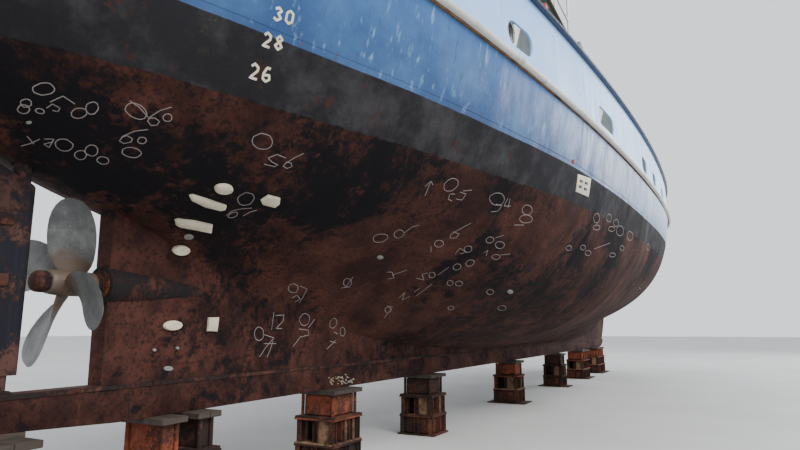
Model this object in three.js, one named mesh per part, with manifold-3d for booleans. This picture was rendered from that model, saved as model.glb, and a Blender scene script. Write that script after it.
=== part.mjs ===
// Steel fishing trawler standing on her keel blocks. Millimetres, +X to the bow, +Y to port, +Z up.
// Lengths along the ship are measured from the rudder stock, heights from the underside of the keel.
// The last lines put the origin on the dock floor, under the middle of the whole object.
import * as THREE from 'three';
import { mergeVertices } from 'three/addons/utils/BufferGeometryUtils.js';
import Module from 'manifold-3d';

const wasm = await Module();
wasm.setup();

// Driving dimensions of the hull
const STERN_X = -2350;          // aftmost point of the deck edge
const STEM_X = 28000;           // foremost point of the deck edge
const WIDEST_X = 13000;         // station of the greatest beam
const HALF_BEAM = 3500;
const DECK_Z = 3720;            // lowest point of the deck edge
const SHEER_X = 8000;           // station of that lowest point
const SHEER_BOW = 1350;         // rise of the deck edge to the bow
const SHEER_STERN = 450;        // rise of the deck edge to the stern
const STERN_FULLNESS = 0.55;    // exponents of the deck edge in plan
const BOW_FINENESS = 2.4;
const BOW_FULLNESS = 0.72;
const FRAME_LEAN = 0.8;         // how soon a raked frame leaves its station at the keel
const STEM_HALF = 70;           // half thickness of the stem bar
const KEEL_HALF = 80;
const KEEL_DEPTH = 300;
const POST_X = 735;             // after face of the stern post
const STEM_FOOT_X = 24300;
const SOLE_END_X = -720;        // after end of the sole piece under the rudder
const BULWARK_HEIGHT = 860;
const BULWARK_THICK = 24;
const RAIL_STERN_X = -2480;     // the bulwark leans out at both ends
const RAIL_STEM_X = 28420;
const GAP = 0.4;                // joint gap between fitted pieces
const PIN_GAP = 0.3;            // running gap of a pin in its bore
const PIN_SIDES = 32;
const BLOCK_TIER = 310;
const BLOCK_TIERS = 3;
const BLOCK_CAP = 30;           // wooden packing between the blocks and the keel
const KEEL_Z = BLOCK_TIER * BLOCK_TIERS + BLOCK_CAP;

// Hull sections. Each side is a straight deadwood from the keel to the tuck (yT, zT) and one cubic
// curve from there to the deck edge, with the control points (y1, z1) and (y2, z2).
// x is the station at the keel and xDeck the same frame's station at the deck.
const SECTIONS = [
  { x: -2350, xDeck: -2350, yT: 0, zT: 3050, y1: 0, z1: 3300, y2: 0, z2: 3600 },
  { x: -1600, xDeck: -1600, yT: 20, zT: 2620, y1: 550, z1: 2750, y2: 1080, z2: 3200 },
  { x: -500, xDeck: -500, yT: 40, zT: 2100, y1: 600, z1: 2220, y2: 1500, z2: 2700 },
  { x: 735, xDeck: 735, yT: 90, zT: 1720, y1: 640, z1: 1860, y2: 1720, z2: 2350 },
  { x: 3000, xDeck: 3000, yT: 110, zT: 1000, y1: 480, z1: 1750, y2: 2280, z2: 1650 },
  { x: 6000, xDeck: 6000, yT: 100, zT: 500, y1: 1250, z1: 950, y2: 2950, z2: 1450 },
  { x: 10000, xDeck: 10000, yT: 90, zT: 330, y1: 2130, z1: 660, y2: 3280, z2: 1330 },
  { x: 14000, xDeck: 14000, yT: 90, zT: 330, y1: 1880, z1: 1130, y2: 3620, z2: 1220 },
  { x: 18000, xDeck: 18000, yT: 90, zT: 360, y1: 1200, z1: 1180, y2: 2680, z2: 1720 },
  { x: 21500, xDeck: 22000, yT: 80, zT: 600, y1: 600, z1: 1100, y2: 1800, z2: 2600 },
  { x: 23500, xDeck: 25200, yT: 75, zT: 900, y1: 250, z1: 1300, y2: 900, z2: 3200 },
  { x: 24300, xDeck: 27900, yT: 70, zT: 1000, y1: 70, z1: 1400, y2: 70, z2: 3400 },
];

const finishes = {
  hullBottom: [0x4a2620, 0.85, 0.0], topsideBlue: [0x2c6aa6, 0.5, 0.0], paleBlue: [0xc8dbe6, 0.5, 0.0],
  white: [0xe4e4dc, 0.5, 0.0], navy: [0x1c2740, 0.5, 0.0], bronze: [0x8f938c, 0.5, 0.7],
  rust: [0x6b3526, 0.9, 0.1], blockSteel: [0x5b3a30, 0.85, 0.2], buff: [0xc9a56a, 0.6, 0.0],
  winchGreen: [0x3f5a4c, 0.6, 0.2], darkSteel: [0x3a3d40, 0.6, 0.5], orange: [0xd9622b, 0.5, 0.0],
  wire: [0x77797a, 0.5, 0.8], deckGreen: [0x4c6156, 0.8, 0.0],
};

// Interpolation of one column of the section table, with slopes that never overshoot
function column(rows, key, at) {
  const last = rows.length - 1;
  if (at <= rows[0].x) return rows[0][key];
  if (at >= rows[last].x) return rows[last][key];
  let i = 0;
  while (rows[i + 1].x < at) i += 1;
  const rise = (k) => (rows[k + 1][key] - rows[k][key]) / (rows[k + 1].x - rows[k].x);
  const slope = (k) => {
    if (k === 0) return rise(0);
    if (k === last) return rise(last - 1);
    const before = rise(k - 1);
    const after = rise(k);
    if (before * after <= 0) return 0;
    return (2 * before * after) / (before + after);
  };
  const span = rows[i + 1].x - rows[i].x;
  const t = (at - rows[i].x) / span;
  const h = (1 - t) * (1 - t);
  return (1 + 2 * t) * h * rows[i][key] + t * h * span * slope(i)
    + t * t * (3 - 2 * t) * rows[i + 1][key] + t * t * (t - 1) * span * slope(i + 1);
}

function deckHalf(x) {
  if (x < WIDEST_X) {
    const u = Math.min(1, (WIDEST_X - x) / (WIDEST_X - STERN_X));
    return HALF_BEAM * (1 - u * u) ** STERN_FULLNESS;
  }
  const u = Math.min(1, (x - WIDEST_X) / (STEM_X - WIDEST_X));
  return HALF_BEAM * (1 - u ** BOW_FINENESS) ** BOW_FULLNESS;
}

function deckHeight(x) {
  const toBow = Math.max(0, (x - SHEER_X) / (STEM_X - SHEER_X));
  const toStern = Math.max(0, (SHEER_X - x) / (SHEER_X - STERN_X));
  return DECK_Z + SHEER_BOW * toBow ** 2 + SHEER_STERN * toStern ** 2;
}

function cubic(a, b, c, d, t) {
  const s = 1 - t;
  return s ** 3 * a + 3 * s * s * t * b + 3 * s * t * t * c + t ** 3 * d;
}

// Starboard half of one frame, from the keel up to the deck edge, as [x, y, z] with y positive
function frameAt(x, steps) {
  const get = (key) => column(SECTIONS, key, x);
  const xDeck = get('xDeck');
  const yDeck = Math.max(x > POST_X ? STEM_HALF : 0, deckHalf(xDeck));
  const zDeck = deckHeight(xDeck);
  const keelTop = x < POST_X ? get('zT') : KEEL_DEPTH;
  const half = [];
  const place = (y, z) => {
    const up = Math.max(0, (z - keelTop) / (zDeck - keelTop));
    half.push([x + (xDeck - x) * up ** FRAME_LEAN, y, z]);
  };
  place(x < POST_X ? get('yT') : KEEL_HALF, keelTop);
  place((get('yT') + (x < POST_X ? get('yT') : KEEL_HALF)) / 2, (keelTop + get('zT')) / 2);
  for (let i = 0; i <= steps; i += 1) {
    const t = i / steps;
    place(cubic(get('yT'), get('y1'), get('y2'), yDeck, t), cubic(get('zT'), get('z1'), get('z2'), zDeck, t));
  }
  return half;
}

// Solids and cuts
function signedVolume(position, index) {
  const [a, b, c] = [new THREE.Vector3(), new THREE.Vector3(), new THREE.Vector3()];
  let sum = 0;
  for (let i = 0; i < index.length; i += 3) {
    a.fromBufferAttribute(position, index[i]);
    b.fromBufferAttribute(position, index[i + 1]);
    c.fromBufferAttribute(position, index[i + 2]);
    sum += a.dot(b.cross(c));
  }
  return sum / 6;
}

function solidOf(geometry) {
  const bare = geometry.clone();
  for (const key of Object.keys(bare.attributes)) if (key !== 'position') bare.deleteAttribute(key);
  const merged = mergeVertices(bare, 1e-3);
  const index = merged.index.array;
  const kept = [];
  for (let i = 0; i < index.length; i += 3) {
    const [a, b, c] = [index[i], index[i + 1], index[i + 2]];
    if (a !== b && b !== c && c !== a) kept.push(a, b, c);
  }
  if (signedVolume(merged.attributes.position, kept) < 0) kept.reverse();
  return new wasm.Manifold(new wasm.Mesh({
    numProp: 3,
    vertProperties: new Float32Array(merged.attributes.position.array),
    triVerts: new Uint32Array(kept),
  }));
}

function geometryOf(solid) {
  const mesh = solid.getMesh();
  const geometry = new THREE.BufferGeometry();
  geometry.setAttribute('position', new THREE.Float32BufferAttribute(mesh.vertProperties, 3));
  geometry.setIndex([...mesh.triVerts]);
  geometry.computeVertexNormals();
  return geometry;
}

// Closed skin over frames of equal point count, mirrored about the centre plane
function loftFrames(frames) {
  const points = [];
  const faces = [];
  const n = frames[0].length;
  for (const frame of frames) {
    for (const [x, y, z] of frame) points.push(x, -y, z);
    for (const [x, y, z] of frame) points.push(x, y, z);
  }
  const at = (f, side, i) => f * 2 * n + side * n + i;
  const quad = (a, b, c, d) => faces.push(a, b, c, a, c, d);
  for (let f = 0; f < frames.length - 1; f += 1) {
    for (let i = 0; i < n - 1; i += 1) {
      quad(at(f, 0, i), at(f + 1, 0, i), at(f + 1, 0, i + 1), at(f, 0, i + 1));
      quad(at(f, 1, i + 1), at(f + 1, 1, i + 1), at(f + 1, 1, i), at(f, 1, i));
    }
    quad(at(f, 1, 0), at(f + 1, 1, 0), at(f + 1, 0, 0), at(f, 0, 0));
    quad(at(f, 0, n - 1), at(f + 1, 0, n - 1), at(f + 1, 1, n - 1), at(f, 1, n - 1));
  }
  const end = frames.length - 1;
  for (let i = 0; i < n - 1; i += 1) {
    quad(at(0, 0, i), at(0, 0, i + 1), at(0, 1, i + 1), at(0, 1, i));
    quad(at(end, 1, i), at(end, 1, i + 1), at(end, 0, i + 1), at(end, 0, i));
  }
  const geometry = new THREE.BufferGeometry();
  geometry.setAttribute('position', new THREE.Float32BufferAttribute(points, 3));
  geometry.setIndex(faces);
  return solidOf(geometry);
}

const box = (x0, x1, y0, y1, z0, z1) => solidOf(
  new THREE.BoxGeometry(x1 - x0, y1 - y0, z1 - z0).translate((x0 + x1) / 2, (y0 + y1) / 2, (z0 + z1) / 2),
);

// Round bar between two points
function bar(from, to, radius, sides = 12, radiusTo = radius) {
  const a = new THREE.Vector3(...from);
  const b = new THREE.Vector3(...to);
  const way = b.clone().sub(a);
  const geometry = new THREE.CylinderGeometry(radiusTo, radius, way.length(), sides);
  geometry.applyQuaternion(
    new THREE.Quaternion().setFromUnitVectors(new THREE.Vector3(0, 1, 0), way.clone().normalize()),
  );
  const middle = a.add(b).multiplyScalar(0.5);
  return solidOf(geometry.translate(middle.x, middle.y, middle.z));
}

// Outline in the x-z plane, [x, z] pairs, as a plate across the ship from y0 to y1
function sidePlate(outline, y0, y1) {
  const shape = new THREE.Shape(outline.map(([x, z]) => new THREE.Vector2(x, z)));
  const geometry = new THREE.ExtrudeGeometry(shape, { depth: y1 - y0, bevelEnabled: false });
  return solidOf(geometry.rotateX(Math.PI / 2).translate(0, y1, 0));
}

// Outline in plan, [x, y] pairs, as a plate from z0 to z1
function deckPlate(outline, z0, z1) {
  const shape = new THREE.Shape(outline.map(([x, y]) => new THREE.Vector2(x, y)));
  return solidOf(new THREE.ExtrudeGeometry(shape, { depth: z1 - z0, bevelEnabled: false }).translate(0, 0, z0));
}

// Bore whose flats clear a pin of the given radius by the running gap
function pinBore(from, to, radius) {
  return bar(from, to, (radius + PIN_GAP) / Math.cos(Math.PI / PIN_SIDES), PIN_SIDES);
}

const join = (...solids) => solids.reduce((sum, solid) => sum.add(solid));

const ship = new THREE.Group();
function addNode(name, solid, finish) {
  const [color, roughness, metalness] = finishes[finish];
  const material = new THREE.MeshStandardMaterial({ color, roughness, metalness });
  const mesh = new THREE.Mesh(geometryOf(solid), material);
  mesh.name = name;
  ship.add(mesh);
}

// Hull, with its keel, sole piece and stern aperture
const CURVE_STEPS = 10;
const STERN_STATIONS = 8;
const MIDDLE_STATIONS = 13;
const BOW_STATIONS = 8;
const BOW_START_X = 20000;
const STOCK_RADIUS = 62;
const STOCK_CLEARANCE = 10;
const STOCK_TOP_Z = 2500;
const STOCK_TRUNK_LOW_Z = 1500;
const STOCK_HEADROOM = 40;
const PIN_END_PLAY = 10;
const PINTLE_RADIUS = 36;
const PINTLE_FOOT_Z = 170;
const SHAFT_Z = 1105;

const LAST_OFFSET = 5;            // the last after station stands just clear of the stern post
function hullStations() {
  const list = [];
  const sternLength = POST_X - LAST_OFFSET - STERN_X;
  for (let i = 0; i <= STERN_STATIONS; i += 1) {
    list.push(STERN_X + sternLength * (1 - Math.cos((Math.PI * i) / (2 * STERN_STATIONS))));
  }
  const spacing = (BOW_START_X - POST_X) / MIDDLE_STATIONS;
  for (let i = 0; i < MIDDLE_STATIONS; i += 1) list.push(POST_X + i * spacing);
  for (let i = 0; i <= BOW_STATIONS; i += 1) {
    const turn = Math.sin((Math.PI * i) / (2 * BOW_STATIONS));
    list.push(BOW_START_X + (STEM_FOOT_X - BOW_START_X) * turn);
  }
  return list;
}
const frames = hullStations().map((x) => frameAt(x, CURVE_STEPS));
const deckEdge = frames.map((frame) => frame[frame.length - 1]);

// Keel bar and sole piece in profile, rounded up into the stem
const FOREFOOT_X = 23700;
const FOREFOOT_RISE_X = 24560;
const FOREFOOT_STEPS = 5;
const SOLE_RISE = 80;
const SOLE_RISE_X = 900;          // where the sole piece starts to rise towards the stern
const KEEL_LAP = 6;               // how far the keel bar reaches up into the hull
const keelProfile = [[SOLE_END_X, SOLE_RISE], [SOLE_RISE_X, 0], [FOREFOOT_X, 0]];
for (let i = 1; i <= FOREFOOT_STEPS; i += 1) {
  const turn = (i / FOREFOOT_STEPS) * (Math.PI / 2);
  keelProfile.push([
    FOREFOOT_X + (FOREFOOT_RISE_X - FOREFOOT_X) * Math.sin(turn),
    KEEL_DEPTH * (1 - Math.cos(turn)) + (KEEL_LAP * i) / FOREFOOT_STEPS,
  ]);
}
keelProfile.push([POST_X + 200, KEEL_DEPTH + KEEL_LAP], [SOLE_END_X, KEEL_DEPTH]);
const hull = join(loftFrames(frames), sidePlate(keelProfile, -KEEL_HALF, KEEL_HALF))
  .subtract(bar(
    [0, 0, STOCK_TRUNK_LOW_Z], [0, 0, STOCK_TOP_Z + STOCK_HEADROOM], STOCK_RADIUS + STOCK_CLEARANCE, 20,
  ))
  .subtract(pinBore([0, 0, PINTLE_FOOT_Z - PIN_END_PLAY], [0, 0, KEEL_DEPTH + 60], PINTLE_RADIUS));
addNode('hull', hull, 'hullBottom');

// The hull a hair larger, for cutting what is fitted to it
const GROWTH = 1.0001;
const hullSkin = hull.scale([GROWTH, GROWTH, GROWTH]);
const seatOnHull = (solid) => solid.subtract(hullSkin);

// Outward direction in plan at each point of the deck edge
function edgeNormals(edge) {
  return edge.map((point, i) => {
    if (i === 0) return [-1, 0];
    const before = edge[i - 1];
    const after = edge[Math.min(i + 1, edge.length - 1)];
    const along = Math.hypot(after[0] - before[0], after[1] - before[1]);
    return [-(after[1] - before[1]) / along, (after[0] - before[0]) / along];
  });
}
const edgeOut = edgeNormals(deckEdge);

// The bulwark's top above each point of the deck edge, leaning out at the ends
const TUMBLEHOME = 30;
const FULL_SIDE_Y = 3000;
function onRail([x, y, z]) {
  const [end, railEnd] = x < WIDEST_X ? [STERN_X, RAIL_STERN_X] : [STEM_X, RAIL_STEM_X];
  const lean = TUMBLEHOME * Math.min(1, y / FULL_SIDE_Y) ** 2;
  return [WIDEST_X + ((x - WIDEST_X) * (railEnd - WIDEST_X)) / (end - WIDEST_X), y - lean, z + BULWARK_HEIGHT];
}

// Closed belt around the ship. The profile is a list of [outward, up, level] offsets, where level
// goes from 0 on the deck edge to 1 on top of the bulwark.
function belt(profile) {
  const CENTRE_GAP = 6;
  const side = deckEdge.map((edge, i) => profile.map(([out, up, level]) => {
    const top = onRail(edge);
    const [x, y, z] = edge.map((value, axis) => value + (top[axis] - value) * level);
    const yOut = i === 0 ? 0 : Math.max(CENTRE_GAP, y + edgeOut[i][1] * out);
    return [x + edgeOut[i][0] * out, yOut, z + up];
  }));
  const other = side.slice(1).reverse().map((points) => points.map(([x, y, z]) => [x, -y, z]));
  const loops = [...side, ...other];
  const m = profile.length;
  const faces = [];
  loops.forEach((_, k) => {
    const next = (k + 1) % loops.length;
    for (let i = 0; i < m; i += 1) {
      const j = (i + 1) % m;
      faces.push(k * m + i, next * m + i, next * m + j, k * m + i, next * m + j, k * m + j);
    }
  });
  const geometry = new THREE.BufferGeometry();
  geometry.setAttribute('position', new THREE.Float32BufferAttribute(loops.flat(2), 3));
  geometry.setIndex(faces);
  return solidOf(geometry);
}

const STRAKE = [[-130, -30, 0], [-130, -120, 0], [30, -118, 0], [62, -92, 0], [70, -60, 0], [56, -34, 0]];
addNode('rubbing_strake', seatOnHull(belt(STRAKE)), 'white');

// Freeing ports along the bulwark's foot, as rounded slots
const PORT_LENGTH = 620;
const LONG_PORT = 900;
const PORT_HEIGHT = 300;
const PORT_SILL = 75;
const PORTS = [
  [3800, PORT_LENGTH], [6950, LONG_PORT], [10100, PORT_LENGTH], [11600, PORT_LENGTH],
  [13600, PORT_LENGTH], [16600, PORT_LENGTH], [19400, PORT_LENGTH],
];
function slot(x, length, side) {
  const low = deckHeight(x) + PORT_SILL;
  const round = PORT_HEIGHT / 2;
  const [inside, outside] = [deckHalf(x) - 500, deckHalf(x) + 300];
  const half = length / 2 - round;
  const ends = [-half, half].map((dx) => bar(
    [x + dx, side * inside, low + round], [x + dx, side * outside, low + round], round, 10,
  ));
  const [y0, y1] = side > 0 ? [inside, outside] : [-outside, -inside];
  return join(...ends, box(x - half, x + half, y0, y1, low, low + PORT_HEIGHT));
}
const BULWARK = [[0, 0, 0], [0, 0, 1], [-BULWARK_THICK, 0, 1], [-BULWARK_THICK, -8, 0]];
let bulwark = seatOnHull(belt(BULWARK));
for (const [x, length] of PORTS) for (const side of [-1, 1]) bulwark = bulwark.subtract(slot(x, length, side));
addNode('bulwark', bulwark, 'paleBlue');

const RAIL_IN = -95;
const RAIL_OUT = 62;
const RAIL_THICK = 64;
addNode('cap_rail', belt([
  [RAIL_OUT, GAP, 1], [0, GAP, 1], [-BULWARK_THICK, GAP, 1], [RAIL_IN, GAP, 1],
  [RAIL_IN, RAIL_THICK, 1], [RAIL_OUT, RAIL_THICK, 1], [RAIL_OUT + 12, 20, 1],
]), 'navy');

// Stern gear: shaft boss, propeller and rudder
const BOSS_RADIUS = 160;
const PROP_X = 450;
const PROP_RADIUS = 660;
const HUB_RADIUS = 95;
const HUB_FRONT_X = 640;
const HUB_BACK_X = 285;
const NUT_BACK_X = 150;
const BLADES = 4;
const BLADE_START = 20;          // degrees clockwise from the top, seen from aft
const PITCH = 1000;
const RAKE = 150;                // how far aft the blade tips lie of the roots

// Round body about the shaft line, from [x, radius] pairs
function turned(profile, sides) {
  const points = [new THREE.Vector2(0, profile[0][0])];
  for (const [x, radius] of profile) points.push(new THREE.Vector2(radius, x));
  points.push(new THREE.Vector2(0, profile[profile.length - 1][0]));
  const geometry = new THREE.LatheGeometry(points, sides).rotateZ(-Math.PI / 2);
  return solidOf(geometry.translate(0, 0, SHAFT_Z));
}

const BOSS_FACE = 28;            // how far the boss stands aft of the post
const BOSS_LENGTH = 1400;
const boss = turned([
  [POST_X - BOSS_FACE, BOSS_RADIUS - 22], [POST_X - BOSS_FACE + 6, BOSS_RADIUS - 8], [POST_X, BOSS_RADIUS],
  [POST_X + 60, BOSS_RADIUS], [POST_X + 900, 110], [POST_X + BOSS_LENGTH, 60],
], 24);
const SIDE_GROWTH = 1.008;
addNode('stern_tube_boss', boss.subtract(hull.translate([-GAP, 0, 0]))
  .subtract(hull.scale([1, SIDE_GROWTH, 1])), 'rust');

// One blade as a loft of lens sections, widest at half radius and set at the pitch angle
const BLADE_ROWS = [
  { at: 0.11, chord: 190, thick: 60 }, { at: 0.25, chord: 270, thick: 44 },
  { at: 0.45, chord: 390, thick: 30 }, { at: 0.66, chord: 440, thick: 22 },
  { at: 0.83, chord: 400, thick: 15 }, { at: 0.94, chord: 280, thick: 11 },
  { at: 1.0, chord: 110, thick: 8 },
];
const SECTION_POINTS = 10;
function blade(turnDegrees) {
  const points = [];
  const faces = [];
  for (const row of BLADE_ROWS) {
    const radius = row.at * PROP_RADIUS;
    const pitch = Math.atan(PITCH / (2 * Math.PI * radius));
    for (let i = 0; i < SECTION_POINTS; i += 1) {
      const turn = (i / SECTION_POINTS) * 2 * Math.PI;
      const u = (Math.cos(turn) * row.chord) / 2;
      const v = (Math.sin(turn) * row.thick) / 2;
      const around = (u * Math.cos(pitch) - v * Math.sin(pitch)) / radius;
      const along = u * Math.sin(pitch) + v * Math.cos(pitch);
      points.push(PROP_X - RAKE * row.at + along, -radius * Math.sin(around), radius * Math.cos(around));
    }
  }
  const m = SECTION_POINTS;
  for (let k = 0; k < BLADE_ROWS.length - 1; k += 1) {
    for (let i = 0; i < m; i += 1) {
      const j = (i + 1) % m;
      faces.push(k * m + i, k * m + j, (k + 1) * m + j, k * m + i, (k + 1) * m + j, (k + 1) * m + i);
    }
  }
  const tip = (BLADE_ROWS.length - 1) * m;
  for (let i = 1; i < m - 1; i += 1) {
    faces.push(0, i + 1, i);
    faces.push(tip, tip + i, tip + i + 1);
  }
  const geometry = new THREE.BufferGeometry();
  geometry.setAttribute('position', new THREE.Float32BufferAttribute(points, 3));
  geometry.setIndex(faces);
  geometry.rotateX((turnDegrees * Math.PI) / 180);
  return solidOf(geometry.translate(0, 0, SHAFT_Z));
}
let propeller = turned([
  [NUT_BACK_X, 30], [NUT_BACK_X + 18, 58], [NUT_BACK_X + 90, 72], [HUB_BACK_X - 18, 74], [HUB_BACK_X, 86],
  [HUB_BACK_X + 60, HUB_RADIUS], [HUB_FRONT_X - 40, HUB_RADIUS], [HUB_FRONT_X, 92],
], 20);
for (let i = 0; i < BLADES; i += 1) propeller = propeller.add(blade(BLADE_START + (360 / BLADES) * i));
const SHAFT_RADIUS = 62;
const shaftEnd = bar([HUB_FRONT_X - 20, 0, SHAFT_Z], [POST_X - BOSS_FACE - GAP, 0, SHAFT_Z], SHAFT_RADIUS, 20);
addNode('propeller', propeller.add(shaftEnd), 'bronze');

// Rudder: a nosed plate on its stock, with a heel pintle in the sole piece
const RUDDER_FRONT_X = 100;
const RUDDER_BACK_X = -1180;
const RUDDER_LOW_Z = 430;
const RUDDER_THICK = 130;
const RUDDER_TOP = [[RUDDER_FRONT_X, 1790], [RUDDER_BACK_X, 2330]];
const RUDDER_ARMS_Z = [620, 1050, 1480];
const ARM_HALF = 76;
const ARM_DEPTH = 90;
const ARM_X = [-900, 40];
const foil = [];
const FOIL = [[1, 0], [0.97, 0.6], [0.85, 1], [0.5, 0.8], [0.2, 0.45], [0, 0.12]];
const foilX = (f) => RUDDER_BACK_X + (RUDDER_FRONT_X - RUDDER_BACK_X) * f;
for (const [f, half] of FOIL) foil.push([foilX(f), (-half * RUDDER_THICK) / 2]);
for (const [f, half] of FOIL.slice(1).reverse()) foil.push([foilX(f), (half * RUDDER_THICK) / 2]);
// Everything above the sloping top edge, which is carried on past both ends
const BEYOND = 300;
const topSlope = (RUDDER_TOP[1][1] - RUDDER_TOP[0][1]) / (RUDDER_TOP[0][0] - RUDDER_TOP[1][0]);
const aboveRudder = sidePlate([
  [RUDDER_FRONT_X + BEYOND, RUDDER_TOP[0][1] - BEYOND * topSlope],
  [RUDDER_BACK_X - BEYOND, RUDDER_TOP[1][1] + BEYOND * topSlope],
  [RUDDER_BACK_X - BEYOND, DECK_Z], [RUDDER_FRONT_X + BEYOND, DECK_Z],
], -RUDDER_THICK, RUDDER_THICK);
let rudder = join(
  deckPlate(foil, RUDDER_LOW_Z, DECK_Z).subtract(aboveRudder),
  bar([0, 0, RUDDER_LOW_Z + 100], [0, 0, STOCK_TOP_Z], STOCK_RADIUS, 16),
  bar([0, 0, PINTLE_FOOT_Z], [0, 0, RUDDER_LOW_Z + 60], PINTLE_RADIUS, PIN_SIDES),
);
for (const z of RUDDER_ARMS_Z) rudder = rudder.add(box(...ARM_X, -ARM_HALF, ARM_HALF, z, z + ARM_DEPTH));
addNode('rudder', rudder, 'rust');

// Keel blocks: stacks of steel tiers between flange plates. The lowest tier is a closed box, the middle
// one an open cross of webs and the upper one a narrower box. The after block has a tapered cap.
const BLOCK_WIDTH = 600;
const BLOCK_PLATE = 24;
const FOOT_NARROW = 330;         // half widths of the foot plates, which are wider than the stacks
const FOOT_WIDE = 450;
const FOOT_INSET = 30;
const WEB_HALF = 110;
const WEB_INSET = 28;
const HEAD_INSET = 60;
const BLOCKS = [
  { x: -130, length: 600, foot: FOOT_WIDE }, { x: 1340, length: 290, foot: FOOT_NARROW },
  { x: 1750, length: 290, foot: FOOT_NARROW }, { x: 4110, length: 660, foot: FOOT_NARROW },
  { x: 6910, length: 600, foot: FOOT_NARROW }, { x: 11650, length: 620, foot: FOOT_WIDE },
  { x: 16200, length: 620, foot: FOOT_WIDE }, { x: 19680, length: 1200, foot: FOOT_WIDE },
  { x: 22800, length: 1500, foot: FOOT_WIDE },
];

// Plan of the middle tier of a block: a cross of broad webs
function crossOutline(x, long, wide) {
  const [u, v, w] = [long / 2 - WEB_INSET, wide / 2 - WEB_INSET, WEB_HALF];
  const s = Math.min(w, u / 2);
  const plan = [
    [u, -w], [u, w], [s, w], [s, v], [-s, v], [-s, w], [-u, w], [-u, -w], [-s, -w], [-s, -v], [s, -v], [s, -w],
  ];
  return plan.map(([along, across]) => [x + along, across]);
}
function keelBlock({ x, length, foot }) {
  const [long, wide] = [length / 2, BLOCK_WIDTH / 2];
  const slab = (by, z0, z1) => box(x - long + by, x + long - by, -wide + by, wide - by, z0, z1);
  const tier = (index) => index * BLOCK_TIER - KEEL_Z;
  const wedge = box(x - long, x + long, -KEEL_HALF, KEEL_HALF, -BLOCK_CAP, SOLE_RISE)
    .subtract(hull.translate([0, 0, -GAP]));
  const bodies = [
    slab(FOOT_INSET, tier(0) + BLOCK_PLATE / 2, tier(1) - BLOCK_PLATE / 2),
    deckPlate(crossOutline(x, length, BLOCK_WIDTH), tier(1), tier(2)),
    slab(HEAD_INSET, tier(2), tier(3) - BLOCK_PLATE / 2),
  ];
  const plates = [
    box(x - long, x + long, -foot, foot, tier(0), tier(0) + BLOCK_PLATE),
    slab(0, tier(1) - BLOCK_PLATE, tier(1) + BLOCK_PLATE),
    slab(0, tier(2) - BLOCK_PLATE, tier(2) + BLOCK_PLATE), slab(0, tier(3) - BLOCK_PLATE, -GAP),
  ];
  return join(...bodies, ...plates, ...(x < SOLE_RISE_X ? [wedge] : []));
}
BLOCKS.forEach((block, i) => addNode(`keel_block_${i + 1}`, keelBlock(block), 'blockSteel'));

// Deckhouse, boat deck and wheelhouse: hollow plate shells with their openings cut
const WALL = 60;
const HOUSE_TOP_Z = 6050;
const BOAT_DECK_THICK = 60;
const BOAT_DECK_Z = HOUSE_TOP_Z + GAP + BOAT_DECK_THICK;
const BRIDGE_TOP_Z = 8350;
const ROOF_THICK = 80;

// Half outlines in plan, port side from aft to forward
const HOUSE = [[900, 950], [1500, 1500], [4200, 2050], [8500, 2050]];
const BOAT_DECK = [[250, 1250], [1300, 1780], [4100, 2420], [8800, 2420]];
const BRIDGE_HALF = 1500;
const BRIDGE = [[5000, BRIDGE_HALF], [7850, BRIDGE_HALF], [8300, 900]];
const ROOF = [[4850, 1680], [8000, 1680], [8560, 980]];
const closed = (half) => [...half.map(([x, y]) => [x, -y]), ...half.slice().reverse()];

// The same outline moved inwards by a wall thickness
function inset(half, by) {
  const all = closed(half);
  return all.map((point, i) => {
    const before = all[(i + all.length - 1) % all.length];
    const after = all[(i + 1) % all.length];
    const unit = (a, b) => {
      const length = Math.hypot(b[0] - a[0], b[1] - a[1]);
      return [-(b[1] - a[1]) / length, (b[0] - a[0]) / length];
    };
    const [p, q] = [unit(before, point), unit(point, after)];
    const share = by / (1 + p[0] * q[0] + p[1] * q[1]);
    return [point[0] + (p[0] + q[0]) * share, point[1] + (p[1] + q[1]) * share];
  });
}
const shell = (half, z0, z1) => deckPlate(closed(half), z0, z1)
  .subtract(deckPlate(inset(half, WALL), z0 - 10, z1 + 10));

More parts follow.
